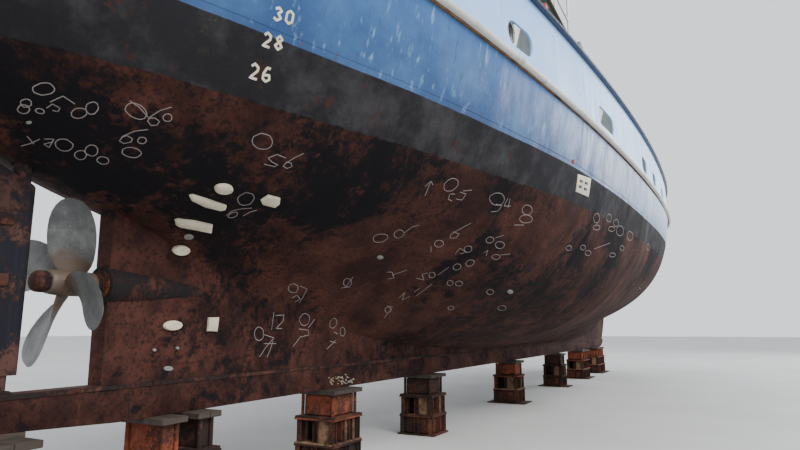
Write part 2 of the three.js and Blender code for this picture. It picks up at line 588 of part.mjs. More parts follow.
// A door closes over the outside of its opening and hangs on two pinned hinges. It is drawn at the
// foot of a wall that runs along x and faces -y, with the leaf's hinge edge at x = 0.
const DOOR_THICK = 50;
const DOOR_GAP = 6;
const HINGE_OFFSET = 28;
const PIN_RADIUS = 10;
const KNUCKLE_RADIUS = 19;
const KNUCKLE_HALF = 50;
const LUG_THICK = 24;
const LUG_HALF = 16;
const DOOR_LAP = 40;
const STRAP_LENGTH = 150;
const STRAP_PROUD = 12;
const STRAP_BITE = 8;
const LUG_PLAY = 2;              // between the knuckle's end and the lug
function doorSet(width, height) {
  const axis = -DOOR_GAP - DOOR_THICK;
  const knuckles = [height * 0.2, height * 0.8];
  let leaf = box(0, width, axis, -DOOR_GAP, 0, height);
  const lugs = [];
  for (const z of knuckles) {
    const [z0, z1] = [z - KNUCKLE_HALF, z + KNUCKLE_HALF];
    leaf = join(
      leaf,
      bar([-HINGE_OFFSET, axis, z0], [-HINGE_OFFSET, axis, z1], KNUCKLE_RADIUS, 12),
      box(-HINGE_OFFSET, STRAP_LENGTH, axis - STRAP_PROUD, axis + STRAP_BITE, z0, z1),
    ).subtract(pinBore([-HINGE_OFFSET, axis, z0 - 5], [-HINGE_OFFSET, axis, z1 + 5], PIN_RADIUS));
    const reach = (za, zb) => box(
      -HINGE_OFFSET - LUG_HALF, -HINGE_OFFSET + LUG_HALF, axis - LUG_HALF, WALL / 2, za, zb,
    );
    lugs.push(join(
      reach(z1 + LUG_PLAY, z1 + LUG_PLAY + LUG_THICK), reach(z0 - LUG_PLAY - LUG_THICK, z0 - LUG_PLAY),
      bar([-HINGE_OFFSET, axis, z0 - 2 * LUG_PLAY], [-HINGE_OFFSET, axis, z1 + 2 * LUG_PLAY], PIN_RADIUS, 12),
    ));
  }
  const opening = box(DOOR_LAP, width - DOOR_LAP, -20, WALL + 20, DOOR_LAP, height - DOOR_LAP);
  return { leaf, lugs: join(...lugs), opening };
}
const placed = (solid, degrees, x, y, z) => solid.rotate([0, 0, degrees]).translate([x, y, z]);

const DOOR_WIDTH = 700;
const DOOR_HEIGHT = 1720;
const HOUSE_SILL = 240;
const BRIDGE_SILL = 120;
const HOUSE_DOOR_Z = deckHeight(900) + HOUSE_SILL;
const BRIDGE_DOOR_Z = BOAT_DECK_Z + BRIDGE_SILL;
const BRIDGE_DOOR_AFT_X = 5220;
const doors = {
  house_door_aft: [-90, 900, DOOR_WIDTH / 2, HOUSE_DOOR_Z],
  bridge_door_starboard: [0, BRIDGE_DOOR_AFT_X, -BRIDGE_HALF, BRIDGE_DOOR_Z],
  bridge_door_port: [180, BRIDGE_DOOR_AFT_X + DOOR_WIDTH, BRIDGE_HALF, BRIDGE_DOOR_Z],
};
const door = doorSet(DOOR_WIDTH, DOOR_HEIGHT);

const PORTHOLE_RADIUS = 150;
const PORTHOLE_Z = 5150;
const HOUSE_PORTHOLES = [4700, 5700, 6700, 7700];
const FRONT_PORTHOLES = [-1200, 0, 1200];
let house = seatOnHull(shell(HOUSE, DECK_Z - 100, HOUSE_TOP_Z));
for (const x of HOUSE_PORTHOLES) {
  house = house.subtract(bar([x, -2500, PORTHOLE_Z], [x, 2500, PORTHOLE_Z], PORTHOLE_RADIUS, 16));
}
for (const y of FRONT_PORTHOLES) {
  house = house.subtract(bar([8300, y, PORTHOLE_Z], [8700, y, PORTHOLE_Z], PORTHOLE_RADIUS, 16));
}
const cutDoor = (wall, name) => wall.subtract(placed(door.opening, ...doors[name]))
  .add(placed(door.lugs, ...doors[name]));
addNode('deckhouse', cutDoor(house, 'house_door_aft'), 'white');
addNode('boat_deck', deckPlate(closed(BOAT_DECK), HOUSE_TOP_Z + GAP, BOAT_DECK_Z), 'deckGreen');

const WINDOW_LOW_Z = BOAT_DECK_Z + 1080;
const WINDOW_HIGH_Z = WINDOW_LOW_Z + 720;
const FRONT_WINDOWS = { places: [-640, 0, 640], half: 260 };
const SIDE_WINDOWS = { places: [6400, 7150], half: 300 };
const AFT_WINDOWS = { places: [-700, 700], half: 300 };
const CORNER_WINDOW_HALF = 230;
const CUT = 150;                 // how far the cuts reach on each side of the wall
const [[bridgeAftX], [bridgeSideX, bridgeSideY], [bridgeFrontX, bridgeFrontY]] = BRIDGE;
const pane = (x0, x1, y0, y1) => box(x0, x1, y0, y1, WINDOW_LOW_Z, WINDOW_HIGH_Z);
let bridge = shell(BRIDGE, BOAT_DECK_Z + GAP, BRIDGE_TOP_Z);
for (const y of FRONT_WINDOWS.places) {
  const { half } = FRONT_WINDOWS;
  bridge = bridge.subtract(pane(bridgeFrontX - CUT, bridgeFrontX + CUT, y - half, y + half));
}
for (const x of SIDE_WINDOWS.places) {
  const { half } = SIDE_WINDOWS;
  bridge = bridge.subtract(pane(x - half, x + half, -BRIDGE_HALF - CUT, BRIDGE_HALF + CUT));
}
for (const y of AFT_WINDOWS.places) {
  const { half } = AFT_WINDOWS;
  bridge = bridge.subtract(pane(bridgeAftX - CUT, bridgeAftX + CUT, y - half, y + half));
}
const cornerTurn = (Math.atan2(bridgeSideY - bridgeFrontY, bridgeFrontX - bridgeSideX) * 180) / Math.PI;
for (const side of [-1, 1]) {
  const [x, y] = [(bridgeSideX + bridgeFrontX) / 2, (side * (bridgeSideY + bridgeFrontY)) / 2];
  const corner = pane(-CORNER_WINDOW_HALF, CORNER_WINDOW_HALF, -CUT, CUT);
  bridge = bridge.subtract(placed(corner, -side * cornerTurn, x, y, 0));
}
bridge = cutDoor(cutDoor(bridge, 'bridge_door_starboard'), 'bridge_door_port');
addNode('wheelhouse', bridge, 'white');
const ROOF_LOW_Z = BRIDGE_TOP_Z + GAP;
addNode('wheelhouse_roof', deckPlate(closed(ROOF), ROOF_LOW_Z, ROOF_LOW_Z + ROOF_THICK), 'white');
for (const [name, at] of Object.entries(doors)) addNode(name, placed(door.leaf, ...at), 'buff');

// Boat deck fittings: guard rail, funnel, life rafts and ventilators
const RAIL_HEIGHT = 1000;
const GUARD = [[8600, 2360], [4085, 2360], [1290, 1720], [320, 1210]];
const STANCHION_SPACING = 1250;
const RAIL_RADIUS = 20;
const STANCHION_RADIUS = 24;
function guardRail() {
  const path = [...GUARD, ...GUARD.slice().reverse().map(([x, y]) => [x, -y])];
  const posts = [];
  const bars = [];
  const low = BOAT_DECK_Z + GAP;
  path.slice(0, -1).forEach(([x0, y0], i) => {
    const [x1, y1] = path[i + 1];
    const count = Math.max(1, Math.round(Math.hypot(x1 - x0, y1 - y0) / STANCHION_SPACING));
    for (let k = 0; k < count; k += 1) posts.push([x0 + ((x1 - x0) * k) / count, y0 + ((y1 - y0) * k) / count]);
    for (const up of [RAIL_HEIGHT, RAIL_HEIGHT / 2]) {
      bars.push(bar([x0, y0, low + up], [x1, y1, low + up], RAIL_RADIUS, 5));
    }
  });
  posts.push(path[path.length - 1]);
  const post = ([x, y]) => bar([x, y, low], [x, y, low + RAIL_HEIGHT + 14], STANCHION_RADIUS, 4);
  return join(...posts.map(post), ...bars);
}
addNode('boat_deck_rail', guardRail(), 'white');

const FUNNEL = [[2450, 260], [2650, 430], [3500, 460], [3750, 250]];
const FUNNEL_TOP_Z = 7900;
const FUNNEL_BAND = [FUNNEL_TOP_Z - 500, FUNNEL_TOP_Z - 60];
const BAND_PROUD = 40;
const funnelBase = BOAT_DECK_Z + GAP;
const exhaust = (x, height, radius, sides) => bar(
  [x, 0, FUNNEL_TOP_Z - 20], [x, 0, FUNNEL_TOP_Z + height], radius, sides,
);
addNode('funnel', join(
  deckPlate(closed(FUNNEL), funnelBase, FUNNEL_TOP_Z),
  deckPlate(inset(FUNNEL, -BAND_PROUD), ...FUNNEL_BAND),
  exhaust(2850, 320, 110, 12), exhaust(3300, 220, 70, 10),
), 'topsideBlue');

const RAFT_RADIUS = 310;
const RAFT_X = 3500;
const RAFT_Y = 1620;
const RAFT_LIFT = 130;
const RAFT_HALF = 560;
const RAFT_END = 90;             // the coned end of the canister
const RAFT_END_RADIUS = 200;
const CRADLE_X = [340, 420];
const CRADLE_HALF = 270;
for (const [name, side] of [['life_raft_port', 1], ['life_raft_starboard', -1]]) {
  const [y, z] = [side * RAFT_Y, funnelBase + RAFT_LIFT + RAFT_RADIUS];
  const end = (way) => [RAFT_X + way * (RAFT_HALF - 1), RAFT_X + way * (RAFT_HALF + RAFT_END)];
  const [[aftIn, aftOut], [foreIn, foreOut]] = [end(-1), end(1)];
  const [near, far] = CRADLE_X;
  const cradle = (x0, x1, half, top) => box(RAFT_X + x0, RAFT_X + x1, y - half, y + half, funnelBase, top);
  addNode(name, join(
    bar([RAFT_X - RAFT_HALF, y, z], [RAFT_X + RAFT_HALF, y, z], RAFT_RADIUS, 14),
    bar([aftOut, y, z], [aftIn, y, z], RAFT_END_RADIUS, 14, RAFT_RADIUS),
    bar([foreIn, y, z], [foreOut, y, z], RAFT_RADIUS, 14, RAFT_END_RADIUS),
    cradle(-far, -near, CRADLE_HALF, z - 120), cradle(near, far, CRADLE_HALF, z - 120),
    cradle(-far, far, 60, z - 200),
  ), 'white');
}
const VENT_X = 4600;
const VENT_Y = 900;
const VENT_RADIUS = 110;
const VENT_HOOD_RADIUS = 210;
const VENT_HOOD_Z = funnelBase + 700;
for (const [name, side] of [['ventilator_port', 1], ['ventilator_starboard', -1]]) {
  const upright = (z0, z1, ...sizes) => bar([VENT_X, side * VENT_Y, z0], [VENT_X, side * VENT_Y, z1], ...sizes);
  addNode(name, join(
    upright(funnelBase, VENT_HOOD_Z + 60, VENT_RADIUS, 12),
    upright(VENT_HOOD_Z, VENT_HOOD_Z + 100, VENT_HOOD_RADIUS, 12),
    upright(VENT_HOOD_Z + 99, VENT_HOOD_Z + 180, VENT_HOOD_RADIUS, 12, 90),
  ), 'buff');
}

// Masts and booms
const MIZZEN_X = 1500;
const MIZZEN_TOP_Z = 10600;
const MAST_X = 12300;
const MAST_TOP_Z = 11850;
const BOOM_PIN_RADIUS = 22;
const BOOM_CHEEK = 40;
const LUG_WIDTH = 50;
const LUG_ROOM = 8;

// Two lugs and an upright pin on the side of a mast, for a swivelling heel
function gooseneck(mastX, pinX, z0, z1) {
  const [xLow, xHigh] = [Math.min(mastX, pinX - LUG_WIDTH), Math.max(mastX, pinX + LUG_WIDTH)];
  const lug = (low) => box(xLow, xHigh, -LUG_WIDTH, LUG_WIDTH, low, low + LUG_WIDTH);
  return join(
    lug(z1 + LUG_ROOM), lug(z0 - LUG_ROOM - LUG_WIDTH),
    bar([pinX, 0, z0 - 20], [pinX, 0, z1 + 20], BOOM_PIN_RADIUS, 12),
  );
}
const HEEL_HALF = 70;            // half height between the lugs
const MIZZEN_BOOM_Z = 7700;
const MIZZEN_PIN_X = 1290;
const MIZZEN_BOOM_END_X = -1500;
addNode('mizzen_mast', join(
  bar([MIZZEN_X, 0, funnelBase], [MIZZEN_X, 0, MIZZEN_TOP_Z], 105, 12, 60),
  box(MIZZEN_X - 60, MIZZEN_X + 60, -650, 650, 9500, 9570),
  gooseneck(MIZZEN_X, MIZZEN_PIN_X, MIZZEN_BOOM_Z - HEEL_HALF, MIZZEN_BOOM_Z + HEEL_HALF),
), 'buff');
addNode('mizzen_boom', join(
  bar([MIZZEN_PIN_X, 0, MIZZEN_BOOM_Z - 68], [MIZZEN_PIN_X, 0, MIZZEN_BOOM_Z + 68], 52, 14),
  bar([MIZZEN_PIN_X - 30, 0, MIZZEN_BOOM_Z], [MIZZEN_BOOM_END_X, 0, MIZZEN_BOOM_Z], 56, 12, 44),
).subtract(pinBore([MIZZEN_PIN_X, 0, MIZZEN_BOOM_Z - 90], [MIZZEN_PIN_X, 0, MIZZEN_BOOM_Z + 90],
  BOOM_PIN_RADIUS)), 'buff');

const BOOM_Z = 6300;
const HEEL_PIN_RADIUS = 20;
const HEEL_X = 12560;
const BOOM_PIN_X = 12730;
const BOOM_END_X = 17150;
const BOOM_RADIUS = 75;
const BOOM_END_RADIUS = 55;
const LEG_TOP_Z = 9400;
const LEG_FOOT = [10900, 1500];
const SPREADER = { half: 900, z0: 10300, z1: 10380 };
const mast = join(
  bar([MAST_X, 0, DECK_Z - 50], [MAST_X, 0, MAST_TOP_Z], 150, 14, 80),
  ...[-1, 1].map((side) => bar(
    [LEG_FOOT[0], side * LEG_FOOT[1], DECK_Z - 50], [MAST_X, 0, LEG_TOP_Z], 75, 10,
  )),
  box(MAST_X - 90, MAST_X + 90, -SPREADER.half, SPREADER.half, SPREADER.z0, SPREADER.z1),
  gooseneck(MAST_X, HEEL_X, BOOM_Z - HEEL_HALF, BOOM_Z + HEEL_HALF),
);
addNode('main_mast', seatOnHull(mast), 'buff');
addNode('derrick_heel', join(
  bar([HEEL_X, 0, BOOM_Z - 68], [HEEL_X, 0, BOOM_Z + 68], 55, 14),
  box(HEEL_X + 20, BOOM_PIN_X + 45, -18, 18, BOOM_Z - 45, BOOM_Z + 45),
  bar([BOOM_PIN_X, -75, BOOM_Z], [BOOM_PIN_X, 75, BOOM_Z], HEEL_PIN_RADIUS, 12),
).subtract(pinBore([HEEL_X, 0, BOOM_Z - 90], [HEEL_X, 0, BOOM_Z + 90], BOOM_PIN_RADIUS)), 'darkSteel');
const cheeks = [-1, 1].map((side) => {
  const [y0, y1] = side > 0 ? [24, 24 + BOOM_CHEEK] : [-24 - BOOM_CHEEK, -24];
  return join(
    box(BOOM_PIN_X, BOOM_PIN_X + 220, y0, y1, BOOM_Z - 42, BOOM_Z + 42),
    bar([BOOM_PIN_X, y0, BOOM_Z], [BOOM_PIN_X, y1, BOOM_Z], 42, 12),
  );
});
addNode('derrick_boom', join(
  ...cheeks,
  bar([BOOM_PIN_X + 150, 0, BOOM_Z], [BOOM_END_X, 0, BOOM_Z], BOOM_RADIUS, 12, BOOM_END_RADIUS),
).subtract(pinBore([BOOM_PIN_X, -90, BOOM_Z], [BOOM_PIN_X, 90, BOOM_Z], HEEL_PIN_RADIUS)), 'buff');

const REST_X = 16500;
const REST_HALF = 260;
const REST_TOP_Z = BOOM_Z - 66;
const REST_DEPTH = 150;
const REST_LEG = { foot: 700, head: 160, radius: 60 };
const REST_TIE = { z: 4900, half: 480, radius: 35 };
addNode('boom_rest', seatOnHull(join(
  box(REST_X - 90, REST_X + 90, -REST_HALF, REST_HALF, REST_TOP_Z - REST_DEPTH, REST_TOP_Z),
  ...[-1, 1].map((side) => bar(
    [REST_X, side * REST_LEG.foot, DECK_Z], [REST_X, side * REST_LEG.head, REST_TOP_Z - REST_DEPTH + 10],
    REST_LEG.radius, 8,
  )),
  bar([REST_X, -REST_TIE.half, REST_TIE.z], [REST_X, REST_TIE.half, REST_TIE.z], REST_TIE.radius, 8),
)), 'buff');

// Stays between the mast heads and the bow
const BOW_EYE_X = 27650;
const BOW_EYE_Z = deckHeight(BOW_EYE_X);
const EYE_HALF = 60;
const STAY_RADIUS = 14;
const STAY_CLEAR = 5.4;
const EYE_PLATE = 20;
addNode('stem_eye', seatOnHull(box(
  BOW_EYE_X - EYE_HALF, BOW_EYE_X + EYE_HALF, -EYE_PLATE, EYE_PLATE, BOW_EYE_Z - 200, BOW_EYE_Z + 700,
)), 'darkSteel');
const FORE_STAY_TOP = [MAST_X + 87, 0, MAST_TOP_Z - 120];
const FORE_STAY_FOOT = [BOW_EYE_X - EYE_HALF - STAY_CLEAR, 0, BOW_EYE_Z + 620];
addNode('fore_stay', bar(FORE_STAY_TOP, FORE_STAY_FOOT, STAY_RADIUS, 6), 'wire');
const MIZZEN_HEAD = [MIZZEN_X + 63.5, 0, MIZZEN_TOP_Z - 120];
addNode('triatic_stay', bar(MIZZEN_HEAD, [MAST_X - 83.5, 0, MAST_TOP_Z - 120], STAY_RADIUS, 6), 'wire');

// Radar on the wheelhouse roof
const RADAR_X = 6300;
const ROOF_Z = BRIDGE_TOP_Z + 2 * GAP + ROOF_THICK;
const SCANNER_Z = ROOF_Z + 1150;
const SCANNER_HALF = 900;
addNode('radar_post', join(
  bar([RADAR_X, 0, ROOF_Z], [RADAR_X, 0, SCANNER_Z - 120], 60, 10),
  box(RADAR_X - 190, RADAR_X + 190, -190, 190, SCANNER_Z - 140, SCANNER_Z - 110),
  bar([RADAR_X, 0, SCANNER_Z - 111], [RADAR_X, 0, SCANNER_Z - GAP], 120, 12),
), 'white');
addNode('radar_scanner', join(
  bar([RADAR_X, 0, SCANNER_Z], [RADAR_X, 0, SCANNER_Z + 62], 60, 12),
  box(RADAR_X - 55, RADAR_X + 55, -SCANNER_HALF, SCANNER_HALF, SCANNER_Z + 60, SCANNER_Z + 170),
), 'white');

// Trawl winch: a bed with three bearing plates and two drums, each with a warping head outboard
const WINCH_X = 10000;
const WINCH_DECK_Z = deckHeight(WINCH_X);
const WINCH_SHAFT_Z = WINCH_DECK_Z + 760;
const WINCH_PLATES = [-1180, 0, 1180];
const PLATE_HALF = 30;
const SHAFT_HALF = 60;
const BED = { aft: 560, fore: 900, half: 1300, height: 90 };
const MOTOR = { aft: 520, fore: 860, half: 620 };

// Round body along y through x, z, from [y, radius] pairs
function rolled(x, z, profile, sides) {
  const points = [new THREE.Vector2(0, profile[0][0])];
  for (const [y, radius] of profile) points.push(new THREE.Vector2(radius, y));
  points.push(new THREE.Vector2(0, profile[profile.length - 1][0]));
  return solidOf(new THREE.LatheGeometry(points, sides).translate(x, 0, z));
}
// Bearing bore whose flats clear the shaft by the joint gap
const BORE_SIDES = 16;
const bearingCut = (x, z, reach, radius) => bar(
  [x, -reach, z], [x, reach, z], (radius + GAP) / Math.cos(Math.PI / BORE_SIDES), BORE_SIDES,
);
addNode('trawl_winch_frame', seatOnHull(join(
  box(WINCH_X - BED.aft, WINCH_X + BED.fore, -BED.half, BED.half, DECK_Z - 60, WINCH_DECK_Z + BED.height),
  ...WINCH_PLATES.map((y) => sidePlate([
    [WINCH_X - 480, DECK_Z + 20], [WINCH_X + 480, DECK_Z + 20],
    [WINCH_X + 190, WINCH_SHAFT_Z + 190], [WINCH_X - 190, WINCH_SHAFT_Z + 190],
  ], y - PLATE_HALF, y + PLATE_HALF)),
  box(WINCH_X + MOTOR.aft, WINCH_X + MOTOR.fore, -MOTOR.half, MOTOR.half, DECK_Z + 20, WINCH_SHAFT_Z + 60),
)).subtract(bearingCut(WINCH_X, WINCH_SHAFT_Z, BED.half, SHAFT_HALF)), 'winchGreen');
const FLANGE = 430;
const CORE = 330;
const drumProfile = [
  [4, SHAFT_HALF], [70, SHAFT_HALF], [71, FLANGE], [105, FLANGE], [106, CORE], [1064, CORE], [1065, FLANGE],
  [1099, FLANGE], [1100, SHAFT_HALF], [1240, SHAFT_HALF], [1241, 190], [1262, 190], [1300, 130],
  [1430, 130], [1468, 190], [1490, 190],
];
const mirrorY = (profile) => profile.map(([y, radius]) => [-y, radius]).reverse();
addNode('winch_drum_port', rolled(WINCH_X, WINCH_SHAFT_Z, drumProfile, 14), 'darkSteel');
addNode('winch_drum_starboard', rolled(WINCH_X, WINCH_SHAFT_Z, mirrorY(drumProfile), 14), 'darkSteel');

// Anchor windlass on the foredeck
const WINDLASS_X = 23600;
const WINDLASS_DECK_Z = deckHeight(WINDLASS_X);
const WINDLASS_Z = WINDLASS_DECK_Z + 470;
const WINDLASS_PLATES = [-360, 360];
const WINDLASS_SHAFT = 50;
const windlassBox = (x0, x1, y0, y1, z0, z1) => box(WINDLASS_X + x0, WINDLASS_X + x1, y0, y1, z0, z1);
addNode('windlass_frame', seatOnHull(join(
  windlassBox(-320, 620, -480, 480, WINDLASS_DECK_Z - 200, WINDLASS_DECK_Z + 100),
  ...WINDLASS_PLATES.map((y) => windlassBox(-150, 150, y - 28, y + 28, WINDLASS_DECK_Z, WINDLASS_Z + 150)),
  windlassBox(330, 580, -260, 260, WINDLASS_DECK_Z, WINDLASS_Z + 40),
)).subtract(bearingCut(WINDLASS_X, WINDLASS_Z, 500, WINDLASS_SHAFT)), 'winchGreen');
addNode('windlass_drum', rolled(WINDLASS_X, WINDLASS_Z, [
  [-640, 165], [-622, 165], [-590, 110], [-460, 110], [-425, 165], [-408, 165],
  [-407, WINDLASS_SHAFT], [-322, WINDLASS_SHAFT], [-321, 240], [-290, 240], [-289, 150], [-60, 150],
  [-59, 240], [-30, 240], [-29, 130], [29, 130], [30, 215], [120, 160], [210, 215],
  [211, WINDLASS_SHAFT], [407, WINDLASS_SHAFT], [408, 165], [425, 165], [460, 110],
  [590, 110], [622, 165], [640, 165],
], 12), 'darkSteel');

// Fish hatch: hollow coaming with a lid hung on its forward edge
const HATCH_AFT_X = 13300;
const HATCH_FORE_X = 14900;
const HATCH_HALF = 760;
const COAMING_HEIGHT = 600;
const HATCH_TOP_Z = deckHeight((HATCH_AFT_X + HATCH_FORE_X) / 2) + COAMING_HEIGHT;
const LID_HINGE_X = HATCH_FORE_X - 50;
const LID_LENGTH = LID_HINGE_X - HATCH_AFT_X;
const HATCH = [[HATCH_AFT_X, HATCH_HALF], [HATCH_FORE_X, HATCH_HALF]];
const lid = doorSet(LID_LENGTH, 2 * HATCH_HALF);
const lay = (solid) => solid.rotate([90, 180, 0]).translate([LID_HINGE_X, HATCH_HALF, HATCH_TOP_Z]);
addNode('hatch_coaming', seatOnHull(shell(HATCH, DECK_Z, HATCH_TOP_Z)).add(lay(lid.lugs)), 'paleBlue');
addNode('hatch_lid', lay(lid.leaf), 'winchGreen');

// Trawl gallows on the port side, as arches in the fore-and-aft plane
const GALLOWS_HALF = 520;
const GALLOWS_LEG = 1500;
const GALLOWS_ARCH = 700;        // height of the arch's control points over the legs
const GALLOWS_RADIUS = 72;
const GALLOWS_SIDES = 6;
const SHEAVE_RADIUS = 190;
const TIE_UP = [700, 790];
const FOOT_DEPTH = 150;
function gallows(x, y) {
  const foot = deckHeight(x);
  const path = new THREE.CurvePath();
  const top = foot + GALLOWS_LEG;
  const v = (dx, z) => new THREE.Vector3(x + dx, y, z);
  path.add(new THREE.LineCurve3(v(-GALLOWS_HALF, foot - FOOT_DEPTH), v(-GALLOWS_HALF, top)));
  path.add(new THREE.CubicBezierCurve3(
    v(-GALLOWS_HALF, top), v(-GALLOWS_HALF, top + GALLOWS_ARCH),
    v(GALLOWS_HALF, top + GALLOWS_ARCH), v(GALLOWS_HALF, top),
  ));
  path.add(new THREE.LineCurve3(v(GALLOWS_HALF, top), v(GALLOWS_HALF, foot - FOOT_DEPTH)));
  const round = new THREE.Shape();
  for (let i = 0; i < GALLOWS_SIDES; i += 1) {
    const turn = (i / GALLOWS_SIDES) * 2 * Math.PI;
    const [u, w] = [GALLOWS_RADIUS * Math.cos(turn), GALLOWS_RADIUS * Math.sin(turn)];
    if (i === 0) round.moveTo(u, w);
    else round.lineTo(u, w);
  }
  const arch = new THREE.ExtrudeGeometry(round, { steps: 18, extrudePath: path, bevelEnabled: false });
  return seatOnHull(join(
    solidOf(arch),
    box(x - GALLOWS_HALF, x + GALLOWS_HALF, y - 35, y + 35, foot + TIE_UP[0], foot + TIE_UP[1]),
    bar([x, y - 60, top + 330], [x, y + 60, top + 330], SHEAVE_RADIUS, 14),
  ));
}
addNode('gallows_fore', gallows(19300, 2880), 'buff');
addNode('gallows_aft', gallows(10650, 3180), 'buff');

// Mooring bitts, two posts on a base plate
const BITTS = { bitts_fore: [21900, 2100], bitts_aft: [-250, 1330] };
const BITT_SPACING = [-200, 200];
const BITT_HEIGHT = 430;
for (const [name, [x, y]] of Object.entries(BITTS)) {
  for (const [sideName, side] of [['port', 1], ['starboard', -1]]) {
    const foot = deckHeight(x);
    addNode(`${name}_${sideName}`, seatOnHull(join(
      box(x - 330, x + 330, side * y - 120, side * y + 120, foot - 120, foot + 60),
      ...BITT_SPACING.map((dx) => join(
        bar([x + dx, side * y, foot], [x + dx, side * y, foot + BITT_HEIGHT], 75, 12),
        bar([x + dx, side * y, foot + BITT_HEIGHT - 5], [x + dx, side * y, foot + BITT_HEIGHT + 25], 100, 12),
      )),
    )), 'darkSteel');
  }
}

// Origin on the floor, under the middle of the whole length
const ORIGIN_X = 12908;
ship.position.set(-ORIGIN_X, 0, KEEL_Z);
const dock = new THREE.Group();
dock.add(ship);

export default dock;
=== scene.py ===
"""Looks of the steel fishing trawler in dry dock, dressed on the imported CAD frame.

Lengths are metres. Ship coordinates are used for the shapes: x from the rudder stock to the bow,
y to port and z up from the underside of the keel. ship() turns them into the frame's own.
"""

import math
import random

import bmesh
import bpy
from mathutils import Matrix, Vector
from mathutils.bvhtree import BVHTree


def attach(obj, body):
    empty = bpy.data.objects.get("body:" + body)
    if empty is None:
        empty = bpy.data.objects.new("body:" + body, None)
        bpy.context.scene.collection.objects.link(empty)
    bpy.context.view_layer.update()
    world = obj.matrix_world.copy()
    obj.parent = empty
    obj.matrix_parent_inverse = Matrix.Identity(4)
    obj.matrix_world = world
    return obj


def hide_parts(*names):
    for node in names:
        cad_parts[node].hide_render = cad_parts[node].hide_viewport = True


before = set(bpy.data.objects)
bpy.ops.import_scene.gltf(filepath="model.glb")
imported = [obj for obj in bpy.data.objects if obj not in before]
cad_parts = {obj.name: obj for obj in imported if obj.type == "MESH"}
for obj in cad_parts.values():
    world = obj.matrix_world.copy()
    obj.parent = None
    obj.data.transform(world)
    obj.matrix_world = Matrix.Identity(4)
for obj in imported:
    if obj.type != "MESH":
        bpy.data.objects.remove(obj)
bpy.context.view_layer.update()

ORIGIN_X = 12.908       # ship x of the frame's origin
KEEL_Z = 0.96           # height of the keel's underside above the dock floor
RED_TOP_Z, BLACK_TOP_Z = KEEL_Z + 2.50, KEEL_Z + 2.93     # heights where the paint changes
SHAFT_Z = 1.105         # height of the propeller shaft
HULL_BODY = "ship"
X_AXIS, Y_AXIS, Z_AXIS = Vector((1, 0, 0)), Vector((0, 1, 0)), Vector((0, 0, 1))


def ship(x, y, z):
    return Vector((x - ORIGIN_X, y, z + KEEL_Z))


# ---------------------------------------------------------------- materials
class Look:
    """A procedural material. Colours are linear and places are object coordinates."""

    def __init__(self, name, rough=0.6, metal=0.0):
        self.material = bpy.data.materials.new(name)
        self.material.use_nodes = True
        self.tree = self.material.node_tree
        self.shader = self.tree.nodes["Principled BSDF"]
        self.shader.inputs["Roughness"].default_value = rough
        self.shader.inputs["Metallic"].default_value = metal
        self.place = self.node("ShaderNodeTexCoord", {}).outputs["Object"]
        self.x, self.y, self.z = self.node("ShaderNodeSeparateXYZ", {0: self.place}).outputs
        self.normal = None

    def node(self, kind, inputs, **settings):
        node = self.tree.nodes.new(kind)
        for key, value in settings.items():
            setattr(node, key, value)
        for key, value in inputs.items():
            self.feed(node.inputs[key], value)
        return node

    def feed(self, socket, value):
        if isinstance(value, bpy.types.NodeSocket):
            self.tree.links.new(value, socket)
        elif socket.type == "RGBA" and len(value) == 3:
            socket.default_value = (*value, 1)
        else:
            socket.default_value = value

    def math(self, operation, a, b=0.0):
        return self.node("ShaderNodeMath", {0: a, 1: b}, operation=operation).outputs[0]

    def times(self, a, b):
        return self.math("MULTIPLY", a, b)

    def plus(self, a, b):
        return self.math("ADD", a, b)

    def minus(self, a, b):
        return self.math("SUBTRACT", a, b)

    def noise(self, scale, detail=5, rough=0.6, stretch=(1, 1, 1), shift=(0, 0, 0), warp=0.0):
        place = self.node("ShaderNodeMapping", {"Vector": self.place, "Location": shift, "Scale": stretch})
        return self.node("ShaderNodeTexNoise", {
            "Vector": place.outputs[0], "Scale": scale, "Detail": detail, "Roughness": rough,
            "Distortion": warp}).outputs[0]

    def ramp(self, value, low, high, out_low=0.0, out_high=1.0):
        node = self.node("ShaderNodeMapRange", {
            0: value, 1: low, 2: high, 3: out_low, 4: out_high}, interpolation_type="SMOOTHSTEP")
        return node.outputs[0]

    def mix(self, factor, a, b):
        node = self.node("ShaderNodeMix", {}, data_type="RGBA")
        for index, value in ((0, factor), (6, a), (7, b)):
            self.feed(node.inputs[index], value)
        return node.outputs[2]

    def over(self, base, value, low, high, share, colour):
        """Lays a share of the colour over the base where the value rises from low to high."""
        return self.mix(self.times(self.ramp(value, low, high), share), base, colour)

    def colour(self, value):
        self.feed(self.shader.inputs["Base Color"], value)

    def rough(self, value):
        self.feed(self.shader.inputs["Roughness"], value)

    def bump(self, height, distance):
        inputs = {"Height": height, "Distance": distance, "Strength": 1.0}
        if self.normal:
            inputs["Normal"] = self.normal
        self.normal = self.node("ShaderNodeBump", inputs).outputs[0]
        self.feed(self.shader.inputs["Normal"], self.normal)


RUST = (0.16, 0.052, 0.022)


